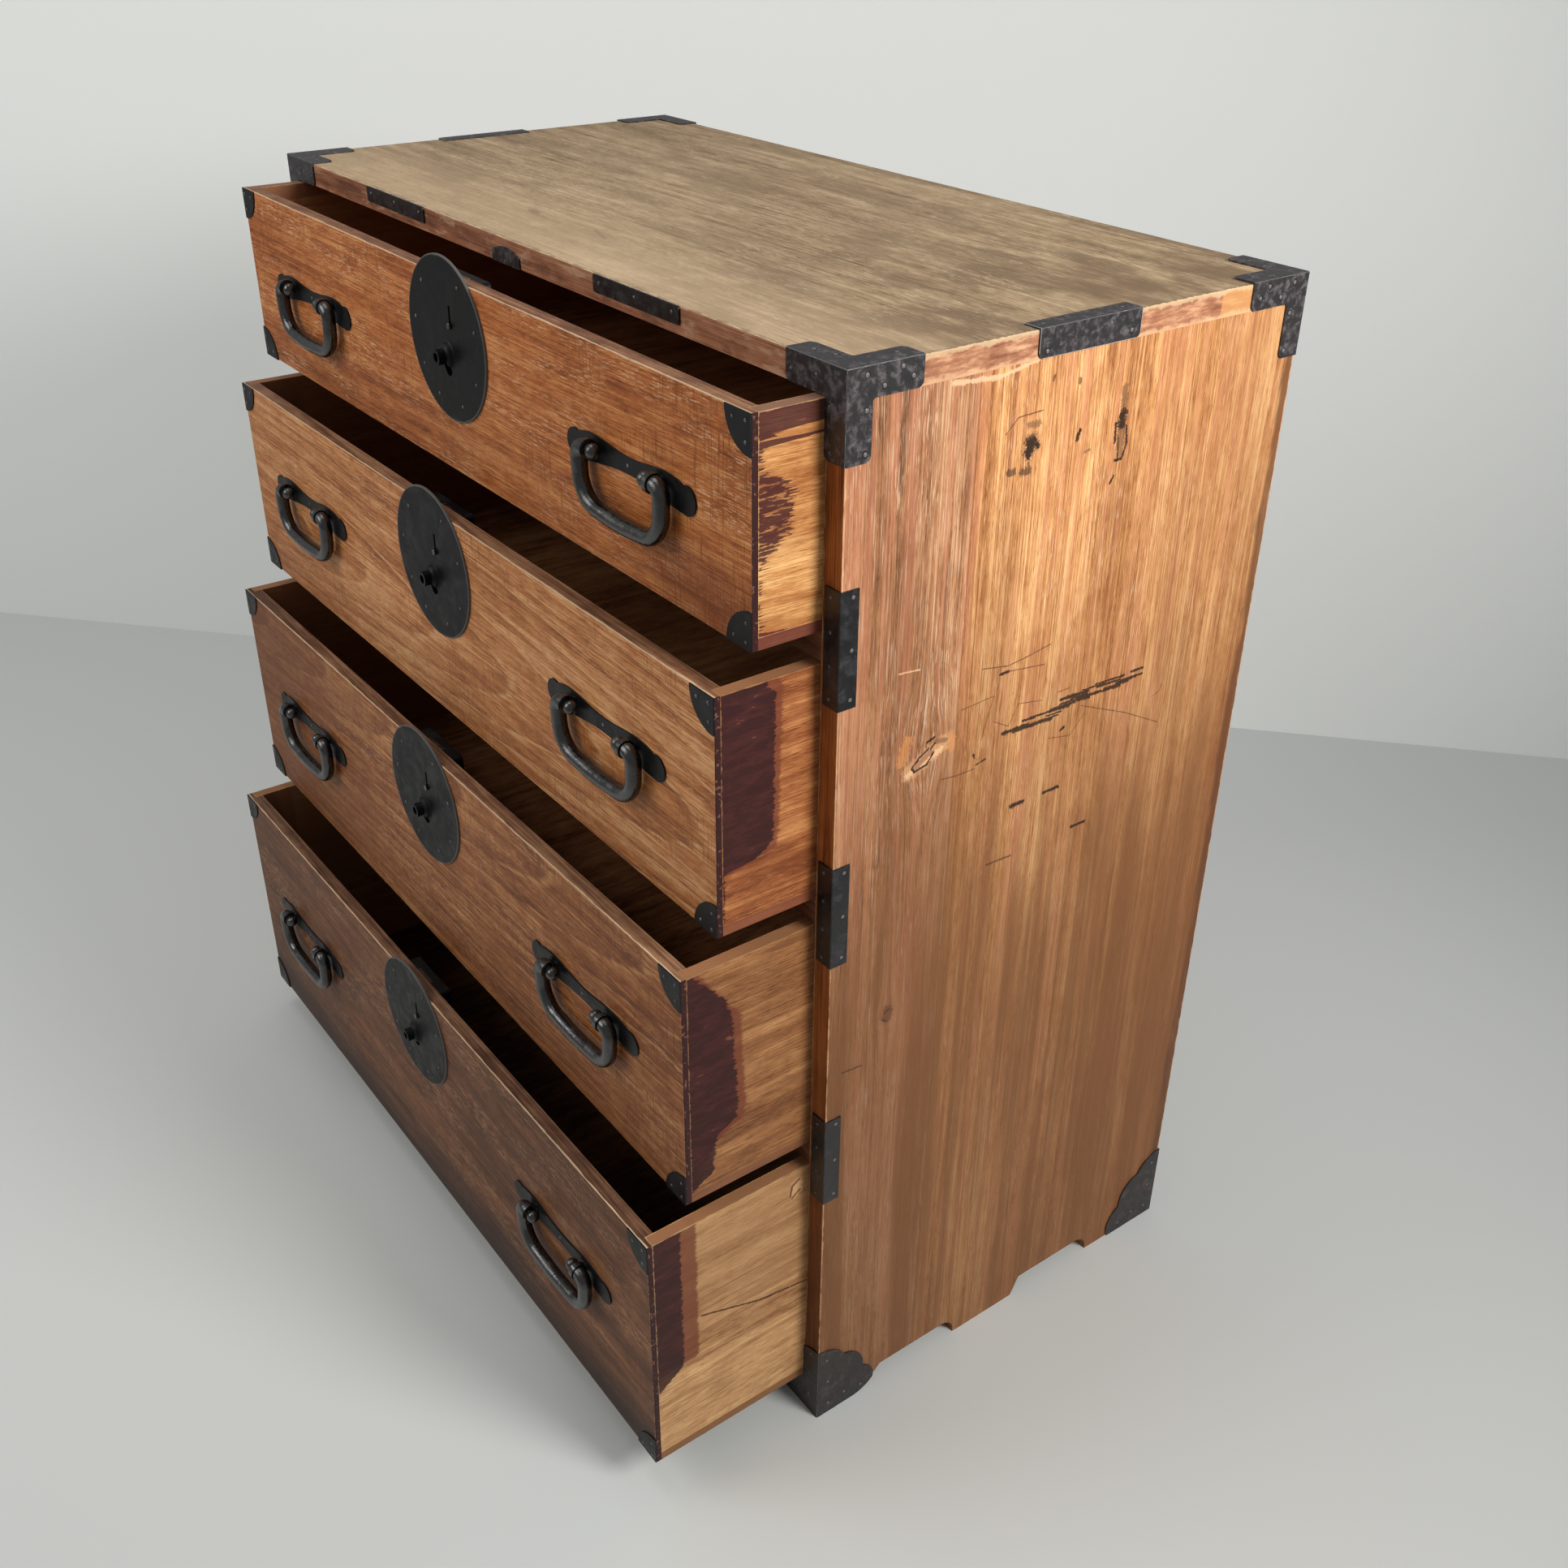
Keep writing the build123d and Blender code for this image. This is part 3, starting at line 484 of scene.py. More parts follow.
def raked(start, end, count, spread, tilt):
    """Strokes of a rough tool along a line on the side board, in mm, staggered and tilted alike."""
    strokes = []
    for index in range(count):
        middle = Vector(start).lerp(Vector(end), (index + 0.5) / count)
        middle.y += dice.uniform(-spread, spread)
        reach = Vector((1.0, tilt)) * dice.uniform(*STROKE_REACHES)
        strokes.append((dice.uniform(*STROKE_WIDTHS), middle - reach, middle + reach))
    return strokes


def marked(board, marks, x):
    """Marks on the face at this X, with places in mm back and up."""
    rough = grit(board)
    for tint, amount, strokes in marks:
        placed = []
        for half_width, *points in strokes:
            placed.append((half_width * MM, *((x, y * MM, z * MM) for y, z in points)))
        gouged(board, rough, tint, amount, placed)


def side_wood(node, seed, has_marks):
    low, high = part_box(node)
    pith = (0.03, 0.10 - side_low.x)
    knots = SIDE_KNOTS if has_marks else ()
    board = Board("side_wood_" + node, "Z", "Y", seed, pith, 0.07, 7 * MM, 1.6 * MM, knots, "X", SIDE_JOINT)
    honey = (rgb(138, 84, 46), rgb(192, 134, 82), rgb(234, 184, 128))
    board.figure(*honey, 0.10, 1.35, 0.6, 0.55, 0.8, 0.6)
    board.streaks(rgb(142, 86, 46), (0.16, 0.0016, 0.0016), 0.58, 0.70, 0.45, 43.0)
    board.streaks(rgb(246, 206, 152), (0.10, 0.0022, 0.0022), 0.60, 0.72, 0.35, 45.0)
    strip = (rgb(98, 62, 42), rgb(154, 104, 70), rgb(198, 150, 112))
    main_colour = board.colour
    board.figure(*strip, 0.12, 1.2, 0.7, 0.5, 0.8, 0.6)
    board.streaks(rgb(92, 58, 40), (0.30, 0.0014, 0.0014), 0.54, 0.66, 0.5, 73.0)
    board.streaks(rgb(214, 190, 168), (0.05, 0.0014, 0.0014), 0.58, 0.68, 0.55, 75.0)
    board.colour = board.mix(main_colour, board.colour, board.times(board.second, 0.9))
    seam = board.step(board.apart(board.over, SIDE_JOINT), 1.2 * MM, 0.3 * MM)
    board.paint(rgb(110, 68, 42), board.times(seam, 0.5))
    board.streaks(rgb(190, 122, 92), (0.40, 0.0070, 0.0070), 0.48, 0.62, 0.4, 81.0)
    board.scuffed(rgb(238, 208, 168), 0.45, (0.018, 0.0012, 0.0012), 77.0, 0.58)
    height = board.axis["Z"]
    # darker towards the bottom: partly grime, partly painted shade where the light falls off downward
    grime_and_painted_shade = board.calc("MULTIPLY_ADD", board.fibre((0.25, 0.05, 0.05), 2, 29.0), 0.4, height)
    veins = board.step(board.fibre((0.50, 0.0160, 0.0160), 2, 83.0, 0.5), 0.38, 0.62, 1.02, 0.76)
    grime_and_painted_shade = board.times(board.step(grime_and_painted_shade, 1.15, 0.60, 0.90), veins)
    board.paint(rgb(110, 70, 38), grime_and_painted_shade)
    rearward = board.step(board.axis["Y"], 0.0, 0.22, 0.36)
    board.paint(rgb(120, 72, 36), rearward)
    rear_reach = board.calc("MULTIPLY_ADD", board.fibre((0.05, 0.01, 0.01), 3, 33.0), 0.02, board.axis["Y"])
    rear_edge = board.step(rear_reach, high.y - 0.004, high.y + 0.004, 0.75)
    board.paint(rgb(88, 52, 32), rear_edge)
    if has_marks:
        gouge = (rgb(38, 24, 18), 0.93, raked(*GOUGE))
        marked(board, (*SIDE_MARKS, gouge), side_high.x)
    inside = board.step(board.axis["X"], side_low.x + 1.0 * MM, side_low.x + 0.4 * MM)
    board.paint(rgb(112, 70, 46), inside)
    tones = ((0.2, rgb(90, 48, 20)), (0.5, rgb(146, 82, 36)), (0.85, rgb(178, 108, 54)))
    lacquer = board.ramp(board.tone, *tones)
    lacquer = board.mix(lacquer, rgb(70, 38, 22), board.step(height, 0.6, 0.1, 0.7))
    board.paint(lacquer, board.face("Y", front_y, 1))
    # a box that reaches past the foot and the top, where no worn edge shows
    box_low = Vector((side_low.x, low.y, -0.05))
    box_high = Vector((side_high.x, high.y, 1.0))
    board.worn(rgb(214, 170, 128), box_low, box_high, 1.8 * MM, 0.55)
    put_on(board.finished(0.5, Specular_IOR_Level=0.25), node)


# Drawer fronts: tones from dark to light, the pith above the middle and its depth, its tilt and the ring,
# and the shares of rings, pale lines between the rings, scuffs, grime and painted shade at the foot and
# dark to the left
FRONTS = (
    ((rgb(122, 62, 26), rgb(178, 100, 46), rgb(216, 148, 88)),
     (0.10, 0.30), 0.02, 9 * MM, (0.12, 0.15, 0.75, 0.15, 0.05)),
    ((rgb(130, 74, 38), rgb(184, 115, 61), rgb(224, 170, 116)),
     (-0.02, 0.08), 0.07, 10 * MM, (0.30, 0.8, 0.35, 0.2, 0.2)),
    ((rgb(98, 52, 24), rgb(142, 82, 40), rgb(192, 136, 84)),
     (0.10, 0.12), 0.06, 9 * MM, (0.26, 0.8, 0.4, 0.25, 0.6)),
    ((rgb(68, 38, 20), rgb(102, 60, 31), rgb(140, 92, 56)),
     (0.0, 0.25), 0.05, 9 * MM, (0.2, 0.25, 0.35, 0.85, 0.1)),
)


# Painted shade on the wood behind a lock plate, as far out as this, so that the plate's slits look deep
PAINTED_SHADE_BEHIND_LOCK = 46 * MM


def front_wood(index, name):
    low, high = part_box(name + "_front")
    tones, pith, tilt, ring, shares = FRONTS[index]
    rings, lines, scuffs, foot_grime_and_shade, left_dark = shares
    place = ((low.z + high.z) / 2 + pith[0], pith[1] - low.y)
    board = Board("front_wood_" + name, "X", "Z", 5.0 + 3 * index, place, tilt, ring, 1.5 * MM)
    dark, plain, light = tones
    board.figure(dark, plain, light, rings, 1.2, 0.6, 0.5, 0.6, 0.7)
    line = board.step(board.apart(board.ring, 0.92), 0.085, 0.0)
    broken = board.step(board.fibre((0.05, 0.004, 0.004), 2, 37.0), 0.40, 0.55)
    line = board.times(line, board.times(broken, lines))
    board.paint(light, line)
    board.streaks(dark, (0.016, 0.0009, 0.0009), 0.57, 0.66, 0.6, 53.0)
    board.scuffed(rgb(226, 178, 136), 1.1 * scuffs, (0.010, 0.0009, 0.0009), 23.0, 0.56)
    cross_hatch = board.stretched(board.over, board.along, 0.0, (0.03, 0.0016, 1.0), 61.0)
    smear = board.step(board.noise(cross_hatch, 1.0, 3.0, 0.6), 0.53, 0.64)
    stain = board.times(smear, board.step(board.fibre((0.1, 0.06, 0.06), 1, 63.0), 0.5, 0.62))
    board.paint(dark, board.times(stain, 0.6))
    if index == 0:
        to_end = board.step(board.axis["X"], 0.29, 0.36)
        board.paint(dark, board.times(to_end, board.times(smear, 0.55)))
        darker = board.times(to_end, board.step(board.axis["Z"], 0.865, 0.835, 0.45))
        board.paint(dark, darker)
    # darker at the foot: partly grime, partly painted shade from the drawer above
    foot = board.calc("MULTIPLY_ADD", board.fibre((0.2, 0.04, 0.04), 2, 67.0), 0.08, board.axis["Z"])
    grime_and_painted_shade = board.step(foot, low.z + 0.13, low.z + 0.04, foot_grime_and_shade)
    board.paint(rgb(42, 27, 21), grime_and_painted_shade)
    leftward = board.step(board.axis["X"], -0.05, -0.42, left_dark)
    board.paint(dark, leftward)
    board.worn(rgb(208, 166, 128), low, high, 1.3 * MM, 0.75)
    brim = board.face("Z", high.z, -1)
    brim_tones = ((0.2, rgb(66, 44, 34)), (0.5, rgb(104, 73, 55)), (0.8, rgb(144, 110, 85)))
    board.paint(board.ramp(board.tone, *brim_tones), board.times(brim, 0.85))
    rough = board.fibre((0.02, 0.004, 0.004), 3, 69.0)
    brim_edge = board.calc("MULTIPLY_ADD", rough, 3 * MM, board.axis["Y"])
    pale_edge = board.step(brim_edge, low.y + 2.9 * MM, low.y + 2.3 * MM, 0.8)
    board.paint(rgb(216, 186, 150), board.times(brim, pale_edge))
    inside = board.step(board.axis["Y"], low.y + 1.5 * MM, low.y + 2.5 * MM)
    inside = board.times(inside, board.calc("SUBTRACT", 1.0, brim))
    board.paint(rgb(150, 96, 64), board.times(inside, 0.6))
    plate_low, plate_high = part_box(name + "_lock_plate")
    lock = ((plate_low.x + plate_high.x) / 2, low.y, (plate_low.z + plate_high.z) / 2)
    # painted shade on the wood behind the lock plate, seen through its slits
    behind = board.step(board.nearest((lock,)), PAINTED_SHADE_BEHIND_LOCK + 2 * MM, PAINTED_SHADE_BEHIND_LOCK)
    board.paint(rgb(16, 12, 10), behind)
    flake = board.noise(board.place, 260.0, 3.0, 0.6)
    lacquer = board.mix(rgb(52, 26, 26), rgb(138, 96, 80), board.step(flake, 0.58, 0.68, 0.7))
    board.paint(lacquer, board.ends(high.x))
    put_on(board.finished(0.5, 0.22 * MM, Specular_IOR_Level=0.2), name + "_front")


# Drawer sides: tones, then how far back (Y) the dark lacquer runs at each height (Z), then the redder coat,
# in metres, and the length of the brush's teeth at the lacquer's edge
DRAWER_SIDES = (
    ((rgb(148, 88, 44), rgb(192, 135, 80), rgb(222, 174, 114)),
     ((0.803, -0.20), (0.810, -0.21), (0.816, -0.279), (0.862, -0.2775), (0.873, -0.2675), (0.882, -0.2540),
      (0.912, -0.2500), (0.920, -0.2590), (0.932, -0.277), (0.944, -0.276), (0.947, -0.21), (0.949, -0.276),
      (0.953, -0.262), (0.956, -0.20), (0.969, -0.20)), None, 45 * MM),
    ((rgb(108, 56, 30), rgb(154, 92, 52), rgb(194, 136, 84)),
     ((0.580, -0.310), (0.6325, -0.309), (0.636, -0.2799), (0.646, -0.2656), (0.768, -0.2637),
      (0.774, -0.2716), (0.779, -0.2716)),
     ((0.580, -0.310), (0.630, -0.309), (0.640, -0.2620), (0.770, -0.2580), (0.779, -0.262)), 10 * MM),
    ((rgb(100, 60, 34), rgb(146, 98, 60), rgb(182, 134, 88)),
     ((0.329, -0.344), (0.3405, -0.3418), (0.350, -0.3232), (0.387, -0.3188), (0.3965, -0.3000),
      (0.410, -0.2985), (0.500, -0.3033), (0.518, -0.3086), (0.538, -0.3251), (0.554, -0.3400)),
     ((0.329, -0.344), (0.380, -0.3230), (0.3965, -0.2910), (0.500, -0.2960), (0.554, -0.335)), 12 * MM),
    ((rgb(138, 94, 58), rgb(190, 144, 98), rgb(218, 176, 124)),
     ((0.040, -0.3850), (0.124, -0.3840), (0.145, -0.3565), (0.305, -0.357)),
     ((0.040, -0.3850), (0.144, -0.3840), (0.1485, -0.342), (0.305, -0.342)), 9 * MM),
)


# The knot and the crack on the lowest drawer's side, in mm back (Y) and up (Z)
DRAWER_4_MARKS = (
    (rgb(212, 166, 120), 0.7, ((5.0, (-240, 279), (-238, 287)),)),
    (rgb(96, 62, 40), 0.9, (
        (1.0, (-245, 277), (-243, 288), (-236, 292)), (0.9, (-243, 274), (-235, 280)),
    )),
    (rgb(74, 44, 30), 0.95, ((0.85, (-338, 193), (-320, 187), (-277, 172), (-252, 168), (-226, 164)),)),
)


def drawer_side_wood(index, name):
    low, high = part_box(name + "_sides")
    tones, dark_reach, red_reach, teeth = DRAWER_SIDES[index]
    pith = (low.z + 0.03, 0.05 - high.x)
    board = Board("drawer_wood_" + name, "Y", "Z", 21.0 + 4 * index, pith, 0.2, 8 * MM, 2.5 * MM, (), "X")
    board.figure(*tones, 0.08, 0.9, 0.5, 0.8, 0.9, 0.7)
    board.streaks(tones[0], (0.10, 0.010, 0.010), 0.54, 0.68, 0.5, 57.0)
    board.streaks(tones[0], (0.03, 0.0014, 0.0014), 0.58, 0.68, 0.5, 59.0)
    back = board.axis["Y"]
    height = board.axis["Z"]
    if index == 3:
        board.paint(rgb(150, 108, 72), board.step(height, 0.16, 0.20, 0.45))
        marked(board, DRAWER_4_MARKS, high.x)
    brush = board.fibre((0.025, 0.0022, 0.0022), 3, 71.0, 0.6)
    ragged = board.calc("MULTIPLY_ADD", board.calc("SUBTRACT", brush, 0.5), teeth, back)
    if red_reach:
        gap = board.calc("SUBTRACT", ragged, board.profile(height, *red_reach))
        board.paint(rgb(106, 52, 36), board.step(gap, 2.0 * MM, -1.0 * MM, 0.8))
    gap = board.calc("SUBTRACT", ragged, board.profile(height, *dark_reach))
    patches = board.stretched(back, height, 0.0, (0.02, 0.006, 1.0), 75.0)
    worn_coat = board.noise(patches, 1.0, 4.0, 0.6)
    coat = board.mix(rgb(44, 20, 22), rgb(60, 27, 28), board.step(worn_coat, 0.45, 0.6))
    coat = board.mix(coat, rgb(128, 80, 60), board.step(worn_coat, 0.66, 0.72, 0.7))
    cover = board.step(gap, 0.8 * MM, -0.8 * MM, 0.92)
    if index == 0:
        coat = board.mix(coat, rgb(92, 34, 22), board.step(height, 0.84, 0.82))
        coat = board.mix(coat, rgb(74, 22, 32), 0.45)
        worn_off = board.step(board.fibre((0.012, 0.0022, 0.0022), 3, 85.0, 0.6), 0.52, 0.60, 0.75)
        middle = board.profile(height, (0.816, 0.0), (0.824, 1.0), (0.940, 1.0), (0.946, 0.0))
        bare = board.calc("SUBTRACT", 1.0, board.times(worn_off, middle))
        cover = board.times(cover, bare)
    board.paint(coat, cover)
    if index == 0:
        gap = board.calc("MULTIPLY_ADD", brush, 6 * MM, board.apart(height, 0.9478))
        board.paint(rgb(96, 50, 36), board.step(gap, 4.6 * MM, 2.4 * MM, 0.45))
    inside = board.step(board.axis["X"], high.x - 0.6 * MM, high.x - 1.5 * MM)
    board.paint(rgb(170, 112, 76), board.times(inside, 0.65))
    rim_tone = rgb(126, 96, 80) if index == 0 else rgb(146, 104, 72)
    board.paint(rim_tone, board.times(board.face("Z", high.z, -1), 0.75))
    board.worn(tones[2], Vector((high.x - 0.0115, low.y, low.z)), high, 1.2 * MM, 0.5)
    put_on(board.finished(0.55, Specular_IOR_Level=0.2), name + "_sides")


# Edges of the drawers' bottoms, where they show at the sides, from the top drawer down
BOTTOM_EDGES = (rgb(90, 34, 28), rgb(116, 60, 38), rgb(112, 70, 44), rgb(136, 94, 58))

# The back's boards, and the pegs of each: in from the board's end and up as a share of its height
BACK_BOARDS = 4
PEG_IN = 12 * MM
PEG_HEIGHTS = (0.25, 0.75)

# Floor of the lowest drawer
DARK_FLOOR = (rgb(54, 34, 22), rgb(92, 60, 38), rgb(132, 92, 60))


def inner_wood():
    for index, name in enumerate(DRAWERS):
        low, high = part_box(name + "_back")
        board = Board("inner_wood_" + name + "_back", "X", "Z", 40.0, (low.z, 0.1 - low.y), 0.05, 8 * MM)
        board.figure(rgb(120, 68, 40), rgb(180, 114, 72), rgb(204, 142, 94))
        put_on(board.finished(), name + "_back")
        board = Board("inner_wood_" + name + "_bottom", "Y", "X", 44.0 + index, (0.1, 0.1), 0.05, 8 * MM)
        tones = (rgb(110, 64, 38), rgb(168, 108, 68), rgb(200, 142, 96)) if index < 3 else DARK_FLOOR
        board.figure(*tones, 0.1, 0.9, 0.5, 0.6, 1.0, 1.0)
        ends = board.ends(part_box(name + "_bottom")[1].x)
        board.paint(BOTTOM_EDGES[index], board.times(ends, 0.85))
        put_on(board.finished(), name + "_bottom")
    board = Board("carcase_inner_wood", "X", "Y", 50.0, (0.1, 0.1), 0.05, 8 * MM)
    board.figure(rgb(70, 40, 26), rgb(112, 68, 44), rgb(140, 90, 60))
    put_on(board.finished(), "front_rails", "dust_boards", "bottom_board", "foot_blocks")


def back_wood():
    low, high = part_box("back_boards")
    width = (high.z - low.z) / BACK_BOARDS
    board = Board("back_wood", "X", "Z", 55.0, (0.3, 0.1), 0.05, 8 * MM)
    rows = board.calc("DIVIDE", board.calc("SUBTRACT", board.axis["Z"], low.z), width)
    board.through = board.calc("MULTIPLY_ADD", board.calc("FLOOR", rows), 0.37, board.through)
    board.figure(rgb(96, 66, 44), rgb(150, 108, 74), rgb(176, 134, 96))
    whole = board.fibre((40.0, 40.0, 0.2), 0, 90.0)
    board.paint(rgb(104, 70, 46), board.step(whole, 0.42, 0.58, 0.5))
    beside = board.apart(rows, board.calc("ROUND", rows))
    seam = board.step(beside, 2.0 * MM / width, 0.6 * MM / width, 0.85)
    board.paint(rgb(38, 25, 18), seam)
    pegs = []
    for number in range(BACK_BOARDS):
        for share in PEG_HEIGHTS:
            pegs.append((high.x - PEG_IN, high.y, low.z + (number + share) * width))
    peg = board.step(board.nearest(pegs, "X"), 2.8 * MM, 2.2 * MM, 0.9)
    board.paint(rgb(72, 46, 30), peg)
    board.worn(rgb(176, 134, 96), low, high, 2 * MM, 0.4)
    put_on(board.finished(), "back_boards")


# Iron, with the thicknesses of its sheets

SHEET = 1.5 * MM
LOCK_PLATE = 2.0 * MM
CORNER_PLATE = 1.2 * MM


def iron(name, tones, roughness=0.42, grain=0.012, relief=0.3 * MM, arris=None, nails=(), mirrored="",
         disc=None, **plain):
    """Blackened iron: dark, scoured patches, rust and bright specks, with arrises worn and painted with a
    highlight, and nails if given.

    arris is the box whose edges are worn and carry a painted highlight. nails are painted heads, on faces
    where the part's box leaves no room for domes. disc is the centre and the radius of a round plate, with
    a painted highlight along its rim. Mirrored axes are folded at 0, so that one box and one set of nails
    stand for all corners."""
    finish = Finish(name)
    dark, patch, rust, speck_tone = tones
    mottle = finish.noise(finish.place, 1 / grain, 5.0, 0.65, 0.4)
    speck = finish.noise(finish.place, 7 / grain, 2.0, 0.6)
    blush = finish.noise(finish.place, 0.4 / grain, 2.0, 0.5)
    finish.colour = finish.mix(dark, patch, finish.step(mottle, 0.46, 0.66))
    finish.paint(rust, finish.step(blush, 0.52, 0.72, 0.5))
    sparse = finish.times(finish.step(speck, 0.66, 0.74), finish.step(mottle, 0.48, 0.62))
    finish.paint(speck_tone, finish.times(sparse, 0.7))
    gloss = finish.step(mottle, 0.3, 0.7, roughness + 0.14, roughness - 0.08)
    dents = finish.noise(finish.place, 110.0, 2.0, 0.5)
    height = finish.calc("MULTIPLY_ADD", speck, 0.25, dents)
    if arris:
        for letter in mirrored:
            finish.axis[letter] = finish.calc("ABSOLUTE", finish.axis[letter])
        # light arrises: partly worn iron, partly a painted highlight
        gap = finish.calc("MULTIPLY_ADD", mottle, 0.8 * MM, finish.edge(*arris))
        finish.paint(rgb(186, 184, 182), finish.step(gap, 0.9 * MM, 0.4 * MM, 0.85))
    # a painted highlight along the round plate's rim
    if disc:
        gap = finish.calc("SUBTRACT", disc[1], finish.nearest((disc[0],)))
        gap = finish.calc("MULTIPLY_ADD", mottle, 1.2 * MM, gap)
        finish.paint(rgb(104, 100, 97), finish.step(gap, 2.2 * MM, 1.4 * MM, 0.75))
    if nails:
        gap = finish.nearest(nails, mirrored)
        rim = finish.step(finish.apart(gap, 2.2 * MM), 0.7 * MM, 0.2 * MM)
        finish.paint(rgb(12, 11, 11), finish.times(rim, 0.85))
        head = finish.step(gap, 1.7 * MM, 1.3 * MM)
        finish.paint(rgb(112, 104, 102), finish.times(head, 0.8))
        height = finish.calc("MULTIPLY_ADD", finish.step(gap, 1.9 * MM, 0.6 * MM), 1.6, height)
    finish.bump(height, relief)
    return finish.close(finish.colour, gloss, **plain)


# Nails on the leaves that bound the part, in mm: on a strap's side leaf above its middle, on a top edge
# strap down from the top, on a bracket's side leaf (back, down) and top leaf (inward, back), and on a
# shoe's side leaf (in from the rear, up)
SIDE_NAIL_RISES = (-38.5, 0.0, 40.0)
SIDE_NAIL_IN = 9.7
EDGE_NAIL_DROPS = (17, 15)
BRACKET_SIDE_NAILS = ((29.8, 14.0), (54.0, 11.7), (44.8, 3.9), (15.6, 28.0), (15.6, 57.2), (15.2, 4.8))
BRACKET_TOP_NAILS = ((48, 10), (30, 14), (12, 50))
SHOE_SIDE_NAILS = ((10, 72), (12, 42), (32, 14), (52, 10), (13, 12))


def from_corner(places):
    """Points of a side leaf at the front right corner: each is (back, down from the top) in mm."""
    made = []
    for along, down in places:
        made.append((cad_box[1].x, front_y + along * MM, top_high.z - down * MM))
    return made


def iron_finishes():
    black = (rgb(15, 15, 16), rgb(26, 26, 27), rgb(24, 21, 19), rgb(70, 68, 66))
    finish = iron("sheet_iron_drawers", black, 0.42, 0.02, 0.12 * MM, Specular_IOR_Level=0.22)
    for name in DRAWERS:
        put_on(finish, name + "_corner_plates", name + "_handle_plates")
        low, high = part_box(name + "_lock_plate")
        face_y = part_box(name + "_front")[0].y - LOCK_PLATE
        disc = (((low.x + high.x) / 2, face_y, (low.z + high.z) / 2), (high.x - low.x) / 2)
        lock_name = "sheet_iron_lock_" + name
        lock = iron(lock_name, black, 0.42, 0.02, 0.12 * MM, disc=disc, Specular_IOR_Level=0.14)
        put_on(lock, name + "_lock_plate")
    strap_tones = (rgb(17, 17, 19), rgb(40, 40, 42), rgb(30, 25, 23), rgb(104, 100, 98))
    strap_nails = []
    for height in STRAP_MIDDLES:
        for rise in SIDE_NAIL_RISES:
            strap_nails.append((cad_box[1].x, front_y + SIDE_NAIL_IN * MM, height + rise * MM))
    strap = iron("sheet_iron_strap", strap_tones, 0.38, 0.010, 0.2 * MM, None, strap_nails, "X")
    put_on(strap, "edge_straps")
    plate = iron("sheet_iron_rail", strap_tones, 0.38, 0.010, 0.2 * MM)
    put_on(plate, "rail_plates")
    low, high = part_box("top_edge_straps")
    edge_places = zip((low.y + 8 * MM, high.y - 9 * MM), EDGE_NAIL_DROPS)
    edge_nails = [(high.x, y, high.z - drop * MM) for y, drop in edge_places]
    edge_nails += [(high.x - 9 * MM, y, high.z) for y in (low.y + 10 * MM, high.y - 12 * MM)]
    mottled = (rgb(36, 34, 36), rgb(82, 76, 78), rgb(52, 44, 42), rgb(190, 184, 182))
    edge = iron("sheet_iron_top_edge", mottled, 0.42, 0.007, 0.25 * MM, (low, high), edge_nails, "X")
    put_on(edge, "top_edge_straps")
    bracket_nails = from_corner(BRACKET_SIDE_NAILS)
    for inward, back in BRACKET_TOP_NAILS:
        bracket_nails.append((top_high.x - inward * MM, front_y + back * MM, cad_box[1].z))
    folded = [(x, abs(y), z) for x, y, z in bracket_nails]
    box = (Vector((0.3, 0.1, 0.8)), Vector((cad_box[1].x, -front_y + 1.5 * MM, cad_box[1].z)))
    bracket = iron("sheet_iron_bracket", mottled, 0.42, 0.007, 0.25 * MM, box, folded, "XY")
    put_on(bracket, "top_brackets")
    keeper = iron("sheet_iron_keeper", mottled, 0.45, 0.008, 0.25 * MM)
    put_on(keeper, "keeper_plates")
    shoe_tones = (rgb(30, 26, 25), rgb(66, 56, 54), rgb(48, 38, 33), rgb(120, 108, 102))
    low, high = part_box("corner_shoes")
    shoe_nails = [(high.x, high.y - inward * MM, up * MM) for inward, up in SHOE_SIDE_NAILS]
    box = (Vector((0.3, 0.1, -0.01)), Vector((high.x, high.y, 0.2)))
    shoe = iron("sheet_iron_shoe", shoe_tones, 0.5, 0.009, 0.3 * MM, box, shoe_nails, "XY")
    put_on(shoe, "corner_shoes")
    forged_tones = (rgb(11, 10, 10), rgb(30, 28, 27), rgb(24, 18, 16), rgb(116, 110, 104))
    forged = iron("wrought_iron_forged", forged_tones, 0.23, 0.010, 0.45 * MM, IOR=1.75)
    for name in DRAWERS:
        put_on(forged, name + "_left_bail", name + "_right_bail")
        put_on(forged, name + "_handle_posts", name + "_lock_bolt")


# Nail heads, as low domes on the iron that faces the front

NAIL_SIDES = 12
NAIL_RADIUS = 1.6 * MM
NAIL_RISE = 0.7 * MM
NAIL_RINGS = ((1.0, -0.1), (0.9, 0.4), (0.6, 0.82), (0.25, 1.0))
LOCK_NAIL_ANGLES = (18, 59, 132, 172, 213, 246, 291, 332)
LOCK_NAIL_RADIUS = 55 * MM
CORNER_NAILS = ((5.5 * MM, 5.5 * MM), (20 * MM, 6.5 * MM), (5.5 * MM, 20 * MM))
HANDLE_NAIL_DROP = 8.5 * MM

# On the carcase's front leaves, in mm: inward on the rail plates, (inward, down) on the brackets, above
# the middle of the straps, and (inward, up) on the shoes
RAIL_NAILS = (9, 59, 109)
BRACKET_FRONT_NAILS = ((57, 12), (16, 27), (14, 57), (30, 9))
STRAP_NAILS = (-39, -13, 13, 39)
STRAP_NAIL_IN = 9
SHOE_FRONT_NAILS = ((10, 78), (11, 50), (12, 22))


